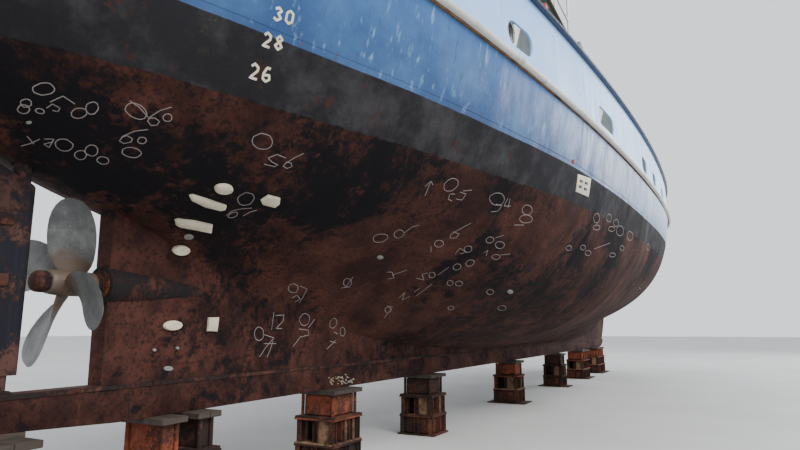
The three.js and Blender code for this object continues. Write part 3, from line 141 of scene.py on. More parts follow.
def painted(name, colour, rough=0.5, wear=0.35, grime=0.35, scale=1.0, metal=0.0, under=RUST):
    """Old paint on steel: uneven tone, run marks down the face, and rust coming through."""
    look = Look(name, rough, metal)
    tone = look.noise(1.3 * scale, 6, 0.65)
    runs = look.noise(2.2 * scale, 4, 0.6, stretch=(3.0, 3.0, 0.25), shift=(4, 1, 0))
    dark = tuple(channel * 0.55 for channel in colour)
    pale = tuple(min(1, channel * 1.25 + 0.01) for channel in colour)
    base = look.mix(look.ramp(tone, 0.3, 0.7), dark, pale)
    base = look.mix(0.55, base, colour)
    base = look.over(base, runs, 0.55, 0.75, grime, tuple(c * 0.3 for c in under))
    spots = look.noise(7.0 * scale, 7, 0.7, shift=(1, 7, 3))
    worn = look.ramp(spots, 0.72 - wear * 0.25, 0.8 - wear * 0.25)
    look.colour(look.mix(look.times(worn, 0.85), base, under))
    look.rough(look.ramp(worn, 0, 1, rough, min(1, rough + 0.35)))
    look.bump(look.minus(look.noise(30 * scale, 4), look.times(worn, 0.6)), 0.004)
    return look.material


def hull_paint():
    """Worn red oxide bottom, black boot-top and blue topsides, with the plating's own unevenness."""
    look = Look("hull_paint", 0.5)
    wobble = look.times(look.minus(look.noise(3.0, 3), 0.5), 0.016)
    height = look.plus(look.z, wobble)
    # bottom paint: a black ground that shows through the red in clouds and in fine specks; the red is kept
    # dark and more black shows low down, painted shade of the down-facing bottom
    cloud = look.noise(0.62, 9, 0.66, warp=0.5)
    speck = look.noise(9.0, 9, 0.78, shift=(5, 0, 2))
    mottle = look.plus(look.times(cloud, 0.66), look.times(speck, 0.34))
    after_body = look.ramp(look.x, -12.5, -7.5, 0.462, 0.425)
    black_ground_and_shade = look.ramp(look.minus(mottle, after_body), 0.0, 0.075)
    # more black towards the keel: painted shade, over the real black ground
    low_side_shade = look.ramp(look.z, KEEL_Z + 1.9, KEEL_Z + 0.5)
    black_ground_and_shade = look.math("MAXIMUM", black_ground_and_shade, look.times(low_side_shade, look.ramp(speck, 0.40, 0.56)))
    tone = look.ramp(look.noise(1.7, 6, 0.7, shift=(8, 3, 1)), 0.35, 0.68)
    oxide = look.mix(tone, (0.026, 0.0088, 0.0068), (0.078, 0.0270, 0.0190))
    red = look.mix(black_ground_and_shade, (0.0052, 0.0044, 0.0062), oxide)
    pits = look.noise(26.0, 8, 0.8, shift=(3, 3, 3))
    red = look.over(red, pits, 0.50, 0.60, 0.80, (0.0060, 0.0045, 0.0050))
    runs = look.noise(2.4, 7, 0.72, stretch=(2.6, 2.6, 0.30), shift=(9, 2, 4))
    red = look.over(red, runs, 0.60, 0.74, 0.45, (0.135, 0.052, 0.034))
    crust = look.noise(34.0, 6, 0.75, shift=(2, 6, 1))
    crusted = look.times(look.ramp(crust, 0.64, 0.74), look.ramp(cloud, 0.45, 0.62))
    red = look.mix(look.times(crusted, 0.55), red, (0.17, 0.115, 0.082))
    # boot-top
    patchy = look.noise(1.8, 6, 0.7, shift=(2, 8, 0))
    black = look.mix(look.ramp(patchy, 0.42, 0.72), (0.0150, 0.0145, 0.0175), (0.046, 0.045, 0.049))
    rusty = look.ramp(look.noise(3.1, 9, 0.76, stretch=(1, 1, 0.6), shift=(7, 3, 5)), 0.58, 0.64)
    black = look.mix(look.times(rusty, 0.7), black, (0.055, 0.021, 0.012))
    slime = look.ramp(look.noise(4.0, 7, 0.7, shift=(1, 4, 6)), 0.60, 0.72)
    near_line = look.ramp(look.z, RED_TOP_Z + 0.05, BLACK_TOP_Z)
    black = look.mix(look.times(look.times(slime, near_line), 0.6), black, (0.060, 0.062, 0.030))
    # topsides
    up = look.ramp(look.z, BLACK_TOP_Z, BLACK_TOP_Z + 1.3)
    blue = look.mix(up, (0.007, 0.050, 0.170), (0.026, 0.120, 0.340))
    haze = look.noise(0.8, 5, 0.6, stretch=(1, 1, 1.6), shift=(0, 5, 1))
    blue = look.over(blue, haze, 0.4, 0.75, 0.30, (0.140, 0.330, 0.600))
    # painted glare: the topsides turn near white towards the bow
    bow_glare = look.ramp(look.x, -5.0, 11.0)
    blue = look.mix(look.times(bow_glare, 0.90), blue, (0.66, 0.86, 0.96))
    drip = look.noise(3.4, 6, 0.66, stretch=(3.2, 3.2, 0.14), shift=(6, 1, 0))
    blue = look.over(blue, drip, 0.56, 0.70, 0.6, (0.016, 0.060, 0.150))
    pale_run = look.noise(4.4, 5, 0.6, stretch=(3.2, 3.2, 0.12), shift=(2, 9, 3))
    blue = look.over(blue, pale_run, 0.58, 0.72, 0.35, (0.36, 0.56, 0.76))
    scab = look.noise(9.0, 8, 0.76, stretch=(1, 1, 0.5), shift=(1, 1, 9))
    near_foot = look.ramp(look.z, BLACK_TOP_Z + 0.5, BLACK_TOP_Z, 0.05, 0.34)
    scab = look.ramp(look.plus(scab, look.times(near_foot, 0.3)), 0.70, 0.76)
    blue = look.mix(look.times(scab, 0.8), blue, (0.10, 0.036, 0.020))
    # bands by height
    lower = look.ramp(height, RED_TOP_Z - 0.03, RED_TOP_Z + 0.03)
    ragged = look.plus(lower, look.times(look.minus(speck, 0.5), 1.4))
    lower = look.ramp(ragged, 0.35, 0.65)
    upper = look.ramp(height, BLACK_TOP_Z - 0.006, BLACK_TOP_Z + 0.006)
    look.colour(look.mix(upper, look.mix(lower, red, black), blue))
    matt = look.ramp(cloud, 0.3, 0.7, 0.90, 0.72)
    gloss = look.ramp(drip, 0.4, 0.7, 0.30, 0.50)
    look.rough(look.plus(look.times(matt, look.minus(1.0, upper)), look.times(gloss, upper)))
    look.feed(look.shader.inputs["Specular IOR Level"], look.ramp(upper, 0, 1, 0.14, 0.5))
    # plating pulled in between the frames, a lapped seam low in the topsides, and the skin of old paint
    ribs = look.math("SINE", look.times(look.x, math.tau / 0.6))
    dent = look.noise(0.55, 3, 0.5, stretch=(1.6, 1, 1), shift=(3, 9, 2))
    look.bump(look.times(ribs, look.ramp(dent, 0.35, 0.7)), 0.005)
    look.bump(dent, 0.06)
    look.bump(look.ramp(height, BLACK_TOP_Z + 0.045, BLACK_TOP_Z + 0.055), 0.004)
    look.bump(look.times(black_ground_and_shade, look.minus(1.0, upper)), 0.003)
    look.bump(look.noise(45.0, 5, 0.7), 0.003)
    return look.material


def bulwark_paint():
    """Pale blue, whitening towards the bow with painted glare, and dark runs from the rail."""
    look = Look("bulwark_paint", 0.42)
    tone = look.noise(0.9, 5, 0.6)
    base = look.mix(look.ramp(tone, 0.3, 0.7), (0.270, 0.480, 0.880), (0.370, 0.585, 0.930))
    # painted glare: near white towards the bow
    base = look.over(base, look.x, -4.0, 8.0, 0.90, (0.82, 0.97, 0.99))
    runs = look.noise(3.4, 6, 0.66, stretch=(3.2, 3.2, 0.14), shift=(4, 1, 0))
    base = look.over(base, runs, 0.58, 0.74, 0.35, (0.10, 0.14, 0.20))
    chips = look.ramp(look.noise(8.0, 8, 0.76, shift=(1, 7, 3)), 0.70, 0.75)
    look.colour(look.mix(look.times(chips, 0.7), base, RUST))
    look.rough(look.ramp(runs, 0.4, 0.75, 0.38, 0.62))
    ribs = look.math("SINE", look.times(look.x, math.tau / 1.2))
    look.bump(ribs, 0.004)
    look.bump(look.noise(0.8, 3), 0.03)
    look.bump(look.noise(40.0, 4), 0.002)
    return look.material


def worn_steel(name, bare, paint, share=0.5, scale=1.0, rough=0.88):
    """Steel with much of its paint gone: clouds and fine specks of paint over a darker ground."""
    look = Look(name, rough)
    cloud = look.noise(1.6 * scale, 8, 0.68, warp=0.4)
    speck = look.noise(16.0 * scale, 9, 0.78, shift=(5, 0, 2))
    mottle = look.plus(look.times(cloud, 0.55), look.times(speck, 0.45))
    kept = look.ramp(mottle, 0.56 - 0.13 * share, 0.62 - 0.13 * share)
    tone = look.ramp(look.noise(5.0 * scale, 5, 0.7, shift=(8, 3, 1)), 0.35, 0.68)
    coat = look.mix(tone, tuple(c * 0.55 for c in paint), paint)
    base = look.mix(kept, bare, coat)
    pits = look.noise(48.0 * scale, 8, 0.8, shift=(3, 3, 3))
    base = look.over(base, pits, 0.54, 0.64, 0.7, tuple(c * 0.35 for c in bare))
    runs = look.noise(3.0 * scale, 6, 0.7, stretch=(3, 3, 0.25), shift=(4, 1, 0))
    look.colour(look.over(base, runs, 0.60, 0.74, 0.4, (0.120, 0.048, 0.024)))
    look.feed(look.shader.inputs["Specular IOR Level"], 0.22)
    look.bump(kept, 0.003)
    look.bump(pits, 0.003)
    return look.material


def casting():
    """Cast propeller: brown towards the hub, grey and speckled with pale scale over the blades."""
    look = Look("propeller_casting", 0.55, 0.25)
    height = look.minus(look.z, KEEL_Z + SHAFT_Z)
    radius = look.math("SQRT", look.plus(look.times(look.y, look.y), look.times(height, height)))
    tone = look.noise(4.0, 6, 0.65)
    base = look.mix(look.ramp(tone, 0.35, 0.68), (0.085, 0.088, 0.090), (0.180, 0.182, 0.178))
    speck = look.noise(55.0, 6, 0.75, shift=(3, 1, 2))
    base = look.over(base, speck, 0.55, 0.66, 0.6, (0.34, 0.34, 0.32))
    pits = look.noise(38.0, 7, 0.8, shift=(8, 5, 2))
    base = look.over(base, pits, 0.58, 0.68, 0.6, (0.040, 0.036, 0.034))
    edge = look.plus(radius, look.times(look.minus(tone, 0.5), 0.22))
    near = look.ramp(edge, 0.30, 0.17)
    base = look.mix(look.times(near, 0.85), base, (0.105, 0.068, 0.045))
    look.colour(base)
    look.rough(look.ramp(speck, 0.4, 0.7, 0.48, 0.85))
    look.bump(speck, 0.002)
    look.bump(look.noise(6.0, 3), 0.006)
    return look.material


def wood(name, pale, dark, along=(0.35, 6.0, 6.0), rough=0.85):
    """Weathered timber with the grain along the smallest number of along."""
    look = Look(name, rough)
    grain = look.noise(5.0, 8, 0.7, stretch=along, warp=0.3)
    tone = look.noise(0.9, 4, 0.6, shift=(2, 5, 8))
    base = look.mix(look.ramp(grain, 0.35, 0.68), dark, pale)
    look.colour(look.over(base, tone, 0.45, 0.7, 0.5, tuple(c * 0.5 for c in dark)))
    look.bump(grain, 0.006)
    return look.material


def glazed(name):
    """Dark window glass that mirrors the sky."""
    look = Look(name, 0.08)
    smear = look.noise(3.0, 4, 0.6, stretch=(1, 1, 0.4))
    look.colour(look.mix(look.ramp(smear, 0.3, 0.7), (0.012, 0.018, 0.022), (0.030, 0.042, 0.048)))
    look.rough(look.ramp(smear, 0.4, 0.8, 0.06, 0.22))
    look.bump(look.noise(1.5, 2), 0.002)
    return look.material


LOOKS = {
    "hull": hull_paint(),
    "white": painted("white_paint", (0.62, 0.63, 0.58), 0.45, 0.25, 0.5),
    "pale": bulwark_paint(),
    "navy": painted("navy_paint", (0.012, 0.020, 0.055), 0.4, 0.35, 0.2),
    "buff": painted("buff_paint", (0.52, 0.32, 0.13), 0.5, 0.25, 0.4),
    "green": painted("winch_green", (0.045, 0.115, 0.075), 0.5, 0.4, 0.4, 2.0),
    "dark": painted("dark_steel", (0.045, 0.048, 0.05), 0.5, 0.4, 0.3, 2.0, 0.3),
    "rust": worn_steel("rusty_steel", (0.016, 0.010, 0.010), (0.085, 0.032, 0.022), 0.6),
    "deck": painted("deck_coating", (0.060, 0.105, 0.080), 0.75, 0.5, 0.4, 0.8),
    "bronze": painted("bronze", (0.20, 0.215, 0.20), 0.5, 0.2, 0.4, 2.5, 0.55, (0.10, 0.13, 0.12)),
    "wire": painted("wire_rope", (0.16, 0.16, 0.155), 0.5, 0.3, 0.3, 6.0, 0.7),
    "block": worn_steel("block_steel", (0.022, 0.013, 0.011), (0.100, 0.036, 0.022), 0.6, 1.2),
    "house": painted("house_white", (0.66, 0.67, 0.63), 0.42, 0.22, 0.4),
    "raft": painted("raft_shell", (0.74, 0.74, 0.71), 0.35, 0.05, 0.25, 2.0),
    "blue": painted("funnel_blue", (0.030, 0.130, 0.340), 0.4, 0.25, 0.35, 1.5),
    "black": painted("black_paint", (0.012, 0.012, 0.013), 0.5, 0.2, 0.2, 3.0),
    "red": painted("signal_red", (0.42, 0.030, 0.020), 0.45, 0.15, 0.3, 2.0),
    "lamp": painted("lamp_lens", (0.70, 0.66, 0.52), 0.15, 0.0, 0.2, 4.0),
    "rubber": painted("black_rubber", (0.016, 0.016, 0.016), 0.85, 0.1, 0.4, 5.0, 0.0, (0.05, 0.045, 0.04)),
    "dark_timber": wood("dark_timber", (0.062, 0.042, 0.031), (0.024, 0.017, 0.014)),
    "glass": glazed("window_glass"),
    "casting": casting(),
    "boss": worn_steel("boss_paint", (0.012, 0.009, 0.010), (0.070, 0.026, 0.018), 0.5),
    "rudder": worn_steel("rudder_paint", (0.012, 0.012, 0.018), (0.085, 0.040, 0.032), 0.55, 0.8),
    "oxide": worn_steel("orange_rust", (0.022, 0.011, 0.008), (0.165, 0.058, 0.025), 0.7, 3.0),
    "primer": worn_steel("red_primer", (0.050, 0.022, 0.016), (0.230, 0.060, 0.030), 1.0, 1.5),
    "tan": worn_steel("tan_steel", (0.060, 0.030, 0.019), (0.210, 0.125, 0.072), 1.0, 1.5),
    # near black: the keel's butt seams, and painted shade in the keel's holes and inside the keel blocks
    "dark_seam_and_shade": worn_steel("dark_seam_and_recess_shade", (0.006, 0.005, 0.005), (0.014, 0.009, 0.008), 0.5, 2.0),
    "crust": painted("shell_growth", (0.27, 0.235, 0.18), 0.95, 0.5, 0.4, 9.0, under=(0.12, 0.085, 0.055)),
    "chalk": painted("survey_chalk", (0.25, 0.21, 0.20), 0.95, 0.0, 0.2, 6.0),
    "cream": painted("cream_paint", (0.66, 0.61, 0.47), 0.6, 0.3, 0.35, 3.0),
    "anode": painted("anode_zinc", (0.60, 0.53, 0.40), 0.7, 0.2, 0.35, 5.0, 0.0, (0.22, 0.13, 0.07)),
    "zinc": painted("dull_zinc", (0.22, 0.22, 0.20), 0.6, 0.25, 0.3, 5.0, 0.4),
}

# The look of each CAD node that has no finer piece in its place
NODE_LOOKS = {
    "pale": "hatch_coaming",
    "house": "deckhouse wheelhouse wheelhouse_roof boat_deck_rail ventilator_port ventilator_starboard "
             "radar_post radar_scanner",
    "deck": "boat_deck hatch_lid",
    "buff": "house_door_aft bridge_door_starboard bridge_door_port mizzen_mast mizzen_boom main_mast "
            "derrick_boom",
    "blue": "funnel",
    "raft": "life_raft_port life_raft_starboard",
    "dark": "derrick_heel boom_rest stem_eye windlass_drum gallows_fore gallows_aft bitts_fore_port "
            "bitts_fore_starboard bitts_aft_port bitts_aft_starboard",
    "wire": "fore_stay triatic_stay winch_drum_port winch_drum_starboard",
    "green": "trawl_winch_frame windlass_frame",
}


def dress(obj, name):
    obj.data.materials.clear()
    obj.data.materials.append(LOOKS[name])


def clothe(obj, look, body=HULL_BODY, replaces=None):
    """Look, body and the node that a new piece stands in for."""
    dress(obj, look)
    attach(obj, body)
    if replaces:
        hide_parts(replaces)


# ---------------------------------------------------------------- camera, floor and light
def link(name, data):
    obj = bpy.data.objects.new(name, data)
    bpy.context.scene.collection.objects.link(obj)
    return obj


camera = link("camera", bpy.data.cameras.new("camera"))
camera.location = (-15.478, -4.49, 1.72)
camera.rotation_euler = (math.radians(99.66), 0, math.radians(-62.53))
camera.data.lens = 27.2
camera.data.sensor_width = 36
camera.data.clip_end = 500
bpy.context.scene.camera = camera


def mesh_object(name, points, faces):
    mesh = bpy.data.meshes.new(name)
    mesh.from_pydata([tuple(p) for p in points], [], faces)
    mesh.update()
    return link(name, mesh)


FLOOR = 120.0           # half the side of the ground
floor = mesh_object("floor", [(x * FLOOR, y * FLOOR, 0) for x, y in ((-1, -1), (1, -1), (1, 1), (-1, 1))],
                    [(0, 1, 2, 3)])
floor_look = Look("pale_floor", 0.9)
floor_look.colour(floor_look.mix(floor_look.ramp(floor_look.noise(0.3, 4), 0.3, 0.7),
                                 (0.50, 0.50, 0.49), (0.56, 0.56, 0.55)))
floor.data.materials.append(floor_look.material)

world = bpy.data.worlds.new("soft_sky")
bpy.context.scene.world = world
world.use_nodes = True
world.node_tree.nodes["Background"].inputs["Color"].default_value = (0.90, 0.93, 0.97, 1)
world.node_tree.nodes["Background"].inputs["Strength"].default_value = 1.35


def soft_light(name, place, target, size, watts, colour):
    lamp = bpy.data.lights.new(name, "AREA")
    lamp.shape = "SQUARE"
    lamp.size = size
    lamp.energy = watts
    lamp.color = colour
    obj = link(name, lamp)
    obj.location = place
    obj.rotation_euler = (Vector(target) - Vector(place)).to_track_quat("-Z", "Y").to_euler()


soft_light("key", (-22, -26, 26), (0, 0, 3), 16, 15000, (1.0, 0.985, 0.96))
soft_light("fill", (26, -18, 14), (2, 0, 3), 14, 4000, (0.93, 0.97, 1.0))

# ---------------------------------------------------------------- CAD nodes that stay in view
for look_name, node_names in NODE_LOOKS.items():
    for node_name in node_names.split():
        dress(bpy.data.objects[node_name], look_name)

# ---------------------------------------------------------------- fine hull
# The same section table as the CAD hull, drawn with many more stations. Each row is the station at
# the keel and at the deck, the tuck's y and z, and the two control points of the side's curve.
SECTIONS = [
    (-2.350, -2.350, 0.000, 3.050, 0.000, 3.300, 0.000, 3.600),
    (-1.600, -1.600, 0.020, 2.620, 0.550, 2.750, 1.080, 3.200),
    (-0.500, -0.500, 0.040, 2.100, 0.600, 2.220, 1.500, 2.700),
    (0.735, 0.735, 0.090, 1.720, 0.640, 1.860, 1.720, 2.350),
    (3.000, 3.000, 0.110, 1.000, 0.480, 1.750, 2.280, 1.650),
    (6.000, 6.000, 0.100, 0.500, 1.250, 0.950, 2.950, 1.450),
    (10.000, 10.000, 0.090, 0.330, 2.130, 0.660, 3.280, 1.330),
    (14.000, 14.000, 0.090, 0.330, 1.880, 1.130, 3.620, 1.220),
    (18.000, 18.000, 0.090, 0.360, 1.200, 1.180, 2.680, 1.720),
    (21.500, 22.000, 0.080, 0.600, 0.600, 1.100, 1.800, 2.600),
    (23.500, 25.200, 0.075, 0.900, 0.250, 1.300, 0.900, 3.200),
    (24.300, 27.900, 0.070, 1.000, 0.070, 1.400, 0.070, 3.400),
]
STERN_X, STEM_X, WIDEST_X = -2.35, 28.0, 13.0
HALF_BEAM, STEM_HALF, KEEL_HALF = 3.5, 0.07, 0.08
DECK_Z, SHEER_X, SHEER_BOW, SHEER_STERN = 3.72, 8.0, 1.35, 0.45
POST_X, KEEL_DEPTH, STEM_FOOT_X = 0.735, 0.30, 24.3
BULWARK_HEIGHT, RAIL_STERN_X, RAIL_STEM_X, TUMBLEHOME = 0.86, -2.48, 28.42, 0.03


def column(key, at):
    """One column of the section table at a station, on a monotone curve through the rows."""
    rows = SECTIONS
    last = len(rows) - 1
    if at <= rows[0][0]:
        return rows[0][key]
    if at >= rows[last][0]:
        return rows[last][key]
    i = 0
    while rows[i + 1][0] < at:
        i += 1

    def rise(k):
        return (rows[k + 1][key] - rows[k][key]) / (rows[k + 1][0] - rows[k][0])

    def slope(k):
        if k == 0:
            return rise(0)
        if k == last:
            return rise(last - 1)
        before, after = rise(k - 1), rise(k)
        return 0 if before * after <= 0 else 2 * before * after / (before + after)

    span = rows[i + 1][0] - rows[i][0]
    t = (at - rows[i][0]) / span
    h = (1 - t) ** 2
    return ((1 + 2 * t) * h * rows[i][key] + t * h * span * slope(i)
            + t * t * (3 - 2 * t) * rows[i + 1][key] + t * t * (t - 1) * span * slope(i + 1))


def deck_half(x):
    """Half breadth of the deck edge."""
    if x < WIDEST_X:
        u = min(1, (WIDEST_X - x) / (WIDEST_X - STERN_X))
        return HALF_BEAM * (1 - u * u) ** 0.55
    u = min(1, (x - WIDEST_X) / (STEM_X - WIDEST_X))
    return HALF_BEAM * (1 - u ** 2.4) ** 0.72


def deck_height(x):
    """Height of the deck edge, with the sheer."""
    to_bow = max(0, (x - SHEER_X) / (STEM_X - SHEER_X))
    to_stern = max(0, (SHEER_X - x) / (SHEER_X - STERN_X))
    return DECK_Z + SHEER_BOW * to_bow ** 2 + SHEER_STERN * to_stern ** 2


def frame_at(x, steps):
    """Half frame from the keel up to the deck edge, y positive."""
    x_deck = column(1, x)
    y_deck = max(STEM_HALF if x > POST_X else 0, deck_half(x_deck))
    z_deck = deck_height(x_deck)
    y_tuck, z_tuck, y1, z1, y2, z2 = (column(key, x) for key in range(2, 8))
    keel_top = z_tuck if x < POST_X else KEEL_DEPTH
    foot = y_tuck if x < POST_X else KEEL_HALF
    half = [(foot, keel_top), ((y_tuck + foot) / 2, (keel_top + z_tuck) / 2)]
    for i in range(steps + 1):
        t = i / steps
        a, b, c, d = (1 - t) ** 3, 3 * (1 - t) ** 2 * t, 3 * (1 - t) * t * t, t ** 3
        half.append((a * y_tuck + b * y1 + c * y2 + d * y_deck, a * z_tuck + b * z1 + c * z2 + d * z_deck))
    points = []
    for y, z in half:
        up = max(0, (z - keel_top) / (z_deck - keel_top))
        points.append((x + (x_deck - x) * up ** 0.8, y, z))
    return points


def hull_stations():
    """Station places, closer together towards both ends."""
    stern, middle, bow = 20, 84, 34
    stern_length = POST_X - 0.005 - STERN_X
    quarter = math.pi / 2
    out = [STERN_X + stern_length * (1 - math.cos(quarter * i / stern)) for i in range(stern + 1)]
    out += [POST_X + (BOW_START_X - POST_X) * i / middle for i in range(middle)]
    out += [BOW_START_X + (STEM_FOOT_X - BOW_START_X) * math.sin(quarter * i / bow) for i in range(bow + 1)]
    return out


BOW_START_X = 20.0
HULL_STEPS = 44
hull_frames = [frame_at(x, HULL_STEPS) for x in hull_stations()]
deck_edge = [points[-1] for points in hull_frames]


def close_skin(frames):
    """Points and faces of the closed skin over the half frames, mirrored about the centre plane."""
    n = len(frames[0])
    points = []
    for half in frames:
        points += [ship(x, -y, z) for x, y, z in half]
        points += [ship(x, y, z) for x, y, z in half]
    faces, decks = [], []

    def at(f, side, i):
        return f * 2 * n + side * n + i

    end = len(frames) - 1
    for f in range(end):
        for i in range(n - 1):
            faces.append((at(f, 0, i), at(f, 0, i + 1), at(f + 1, 0, i + 1), at(f + 1, 0, i)))
            faces.append((at(f, 1, i + 1), at(f, 1, i), at(f + 1, 1, i), at(f + 1, 1, i + 1)))
        faces.append((at(f, 1, 0), at(f, 0, 0), at(f + 1, 0, 0), at(f + 1, 1, 0)))
        decks.append(len(faces))
        faces.append((at(f, 0, n - 1), at(f, 1, n - 1), at(f + 1, 1, n - 1), at(f + 1, 0, n - 1)))
    for i in range(n - 1):
        faces.append((at(0, 0, i + 1), at(0, 0, i), at(0, 1, i), at(0, 1, i + 1)))
        faces.append((at(end, 1, i + 1), at(end, 1, i), at(end, 0, i), at(end, 0, i + 1)))
    return points, faces, decks


def tidy(obj, distance=1e-5):
    """Merges points that coincide and drops the faces that vanish with them."""
    build = bmesh.new()
    build.from_mesh(obj.data)
    bmesh.ops.remove_doubles(build, verts=build.verts, dist=distance)
    bmesh.ops.dissolve_degenerate(build, edges=build.edges, dist=distance)
    bmesh.ops.recalc_face_normals(build, faces=build.faces)
    build.to_mesh(obj.data)
    build.free()


def apply_modifiers(obj):
    graph = bpy.context.evaluated_depsgraph_get()
    mesh = bpy.data.meshes.new_from_object(obj.evaluated_get(graph))
    obj.modifiers.clear()
    obj.data = mesh


def cut(obj, *cutters):
    """Subtracts the cutter objects, which are then removed."""
    for cutter in cutters:
        modifier = obj.modifiers.new("cut", "BOOLEAN")
        modifier.operation = "DIFFERENCE"
        modifier.solver = "EXACT"
        modifier.object = cutter
    apply_modifiers(obj)
    for cutter in cutters:
        bpy.data.objects.remove(cutter, do_unlink=True)


def smooth(obj, angle=35):
    obj.data.shade_smooth()
    obj.data.set_sharp_from_angle(angle=math.radians(angle))


def circle(centre, side, other, radius, steps):
    """Points of a circle, starting at side and turning towards other."""
    points = []
    for k in range(steps):
        angle = math.tau * k / steps
        points.append(centre + side * (radius * math.cos(angle)) + other * (radius * math.sin(angle)))
    return points


def between(first, second, count):
    """Faces between two rings of points, given the index that each starts at."""
    pairs = [(i, (i + 1) % count) for i in range(count)]
    return [(first + i, first + j, second + j, second + i) for i, j in pairs]


def bore(low, high, radius, sides=24):
    """Upright round cutter on the rudder's axis."""
    points = [p for z in (low, high) for p in circle(ship(0, 0, z), X_AXIS, Y_AXIS, radius, sides)]
    faces = [tuple(reversed(range(sides))), tuple(range(sides, 2 * sides))]
    return mesh_object("bore", points, faces + between(0, sides, sides))


def prism(name, outline, y0, y1):
    """Outline of (x, z) ship points, extruded across the ship."""
    n = len(outline)
    points = [ship(x, y, z) for y in (y0, y1) for x, z in outline]
    faces = [tuple(range(n)), tuple(reversed(range(n, 2 * n)))]
    faces += [(i, n + i, n + (i + 1) % n, (i + 1) % n) for i in range(n)]
    obj = mesh_object(name, points, faces)
    tidy(obj)
    return obj


def bevel(obj, width):
    modifier = obj.modifiers.new("edges", "BEVEL")
    modifier.width = width
    modifier.segments = 2
    modifier.limit_method = "ANGLE"
    modifier.angle_limit = math.radians(30)
    modifier.use_clamp_overlap = True
    apply_modifiers(obj)


STOCK_BORE, STOCK_BORE_TOP = 0.072, 2.54
PINTLE_BORE = 0.0373
SOLE_END_X, SOLE_RISE, SOLE_RISE_X = -0.72, 0.08, 0.90
FOREFOOT_X, FOREFOOT_RISE_X = 23.7, 24.56

skin_points, skin_faces, deck_faces = close_skin(hull_frames)
hull_shell = mesh_object("hull_shell", skin_points, skin_faces)
hull_shell.data.materials.append(LOOKS["hull"])
hull_shell.data.materials.append(LOOKS["deck"])
for index in deck_faces:
    hull_shell.data.polygons[index].material_index = 1
tidy(hull_shell, 1e-4)
cut(hull_shell, bore(1.5, STOCK_BORE_TOP, STOCK_BORE))
smooth(hull_shell, 32)
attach(hull_shell, HULL_BODY)
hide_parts("hull")

FOREFOOT_STEPS, INTO_HULL = 12, 0.006

keel_outline = [(SOLE_END_X, SOLE_RISE), (SOLE_RISE_X, 0), (FOREFOOT_X, 0)]
for step in range(1, FOREFOOT_STEPS + 1):
    done = step / FOREFOOT_STEPS
    lift = done * math.pi / 2
    keel_outline.append((FOREFOOT_X + (FOREFOOT_RISE_X - FOREFOOT_X) * math.sin(lift),
                         KEEL_DEPTH * (1 - math.cos(lift)) + INTO_HULL * done))
keel_outline += [(POST_X + 0.2, KEEL_DEPTH + INTO_HULL), (SOLE_END_X, KEEL_DEPTH)]
keel_bar = prism("keel_bar", keel_outline, -KEEL_HALF, KEEL_HALF)
cut(keel_bar, bore(0.16, 0.40, PINTLE_BORE, 32))
bevel(keel_bar, 0.006)
smooth(keel_bar)
clothe(keel_bar, "hull")


# ---------------------------------------------------------------- belts along the deck edge
def edge_normals(edge):
    """Outward direction in plan at each point of the port deck edge."""
    out = [(-1.0, 0.0)]
    for i in range(1, len(edge)):
        before, after = edge[i - 1], edge[min(i + 1, len(edge) - 1)]
        along = math.hypot(after[0] - before[0], after[1] - before[1])
        out.append((-(after[1] - before[1]) / along, (after[0] - before[0]) / along))
    return out


edge_out = edge_normals(deck_edge)
CENTRE_GAP = 0.006


def on_rail(point):
    """Place on the rail above a place on the deck edge."""
    x, y, z = point
    end, rail_end = (STERN_X, RAIL_STERN_X) if x < WIDEST_X else (STEM_X, RAIL_STEM_X)
    lean = TUMBLEHOME * min(1, y / 3.0) ** 2
    stretch = (rail_end - WIDEST_X) / (end - WIDEST_X)
    return WIDEST_X + (x - WIDEST_X) * stretch, y - lean, z + BULWARK_HEIGHT


def belt(name, profile):
    """Closed belt round the ship from (outward, up, level) offsets; level runs from deck edge to rail."""
    side = []
    for i, edge in enumerate(deck_edge):
        top = on_rail(edge)
        loop = []
        for out, up, level in profile:
            x, y, z = (value + (top[axis] - value) * level for axis, value in enumerate(edge))
            y_out = 0 if i == 0 else max(CENTRE_GAP, y + edge_out[i][1] * out)
            loop.append((x + edge_out[i][0] * out, y_out, z + up))
        side.append(loop)
    loops = side + [[(x, -y, z) for x, y, z in loop] for loop in reversed(side[1:])]
    m = len(profile)
    faces = []
    for k in range(len(loops)):
        faces += between(k * m, (k + 1) % len(loops) * m, m)
    obj = mesh_object(name, [ship(*point) for loop in loops for point in loop], faces)
    tidy(obj, 1e-4)
    return obj


def arc(centre, radius, start, stop, steps, level):
    """Profile points on an arc, angles in degrees from outward, turning up."""
    points = []
    for i in range(steps + 1):
        angle = math.radians(start + (stop - start) * i / steps)
        points.append((centre[0] + radius * math.cos(angle), centre[1] + radius * math.sin(angle), level))
    return points


strake = belt("strake_round", [(-0.13, -0.030, 0), (-0.13, -0.120, 0), (0.020, -0.120, 0)]
              + arc((0.0255, -0.077), 0.043, -80, 70, 10, 0) + [(0.0, -0.030, 0)])
smooth(strake, 50)
clothe(strake, "white", replaces="rubbing_strake")

PORT_LENGTH, LONG_PORT, PORT_HEIGHT, PORT_SILL = 0.62, 0.90, 0.30, 0.075
PORTS = [(3.8, PORT_LENGTH), (6.95, LONG_PORT), (10.1, PORT_LENGTH), (11.6, PORT_LENGTH),
         (13.6, PORT_LENGTH), (16.6, PORT_LENGTH), (19.4, PORT_LENGTH)]


def slot_outline(x, length):
    """Freeing port with round ends, in the side's x-z plane."""
    steps = 8
    radius = PORT_HEIGHT / 2
    middle = deck_height(x) + PORT_SILL + radius
    outline = []
    for centre, start in ((x + length / 2 - radius, -90), (x - length / 2 + radius, 90)):
        for i in range(steps + 1):
            angle = math.radians(start + 180 * i / steps)
            outline.append((centre + radius * math.cos(angle), middle + radius * math.sin(angle)))
    return outline


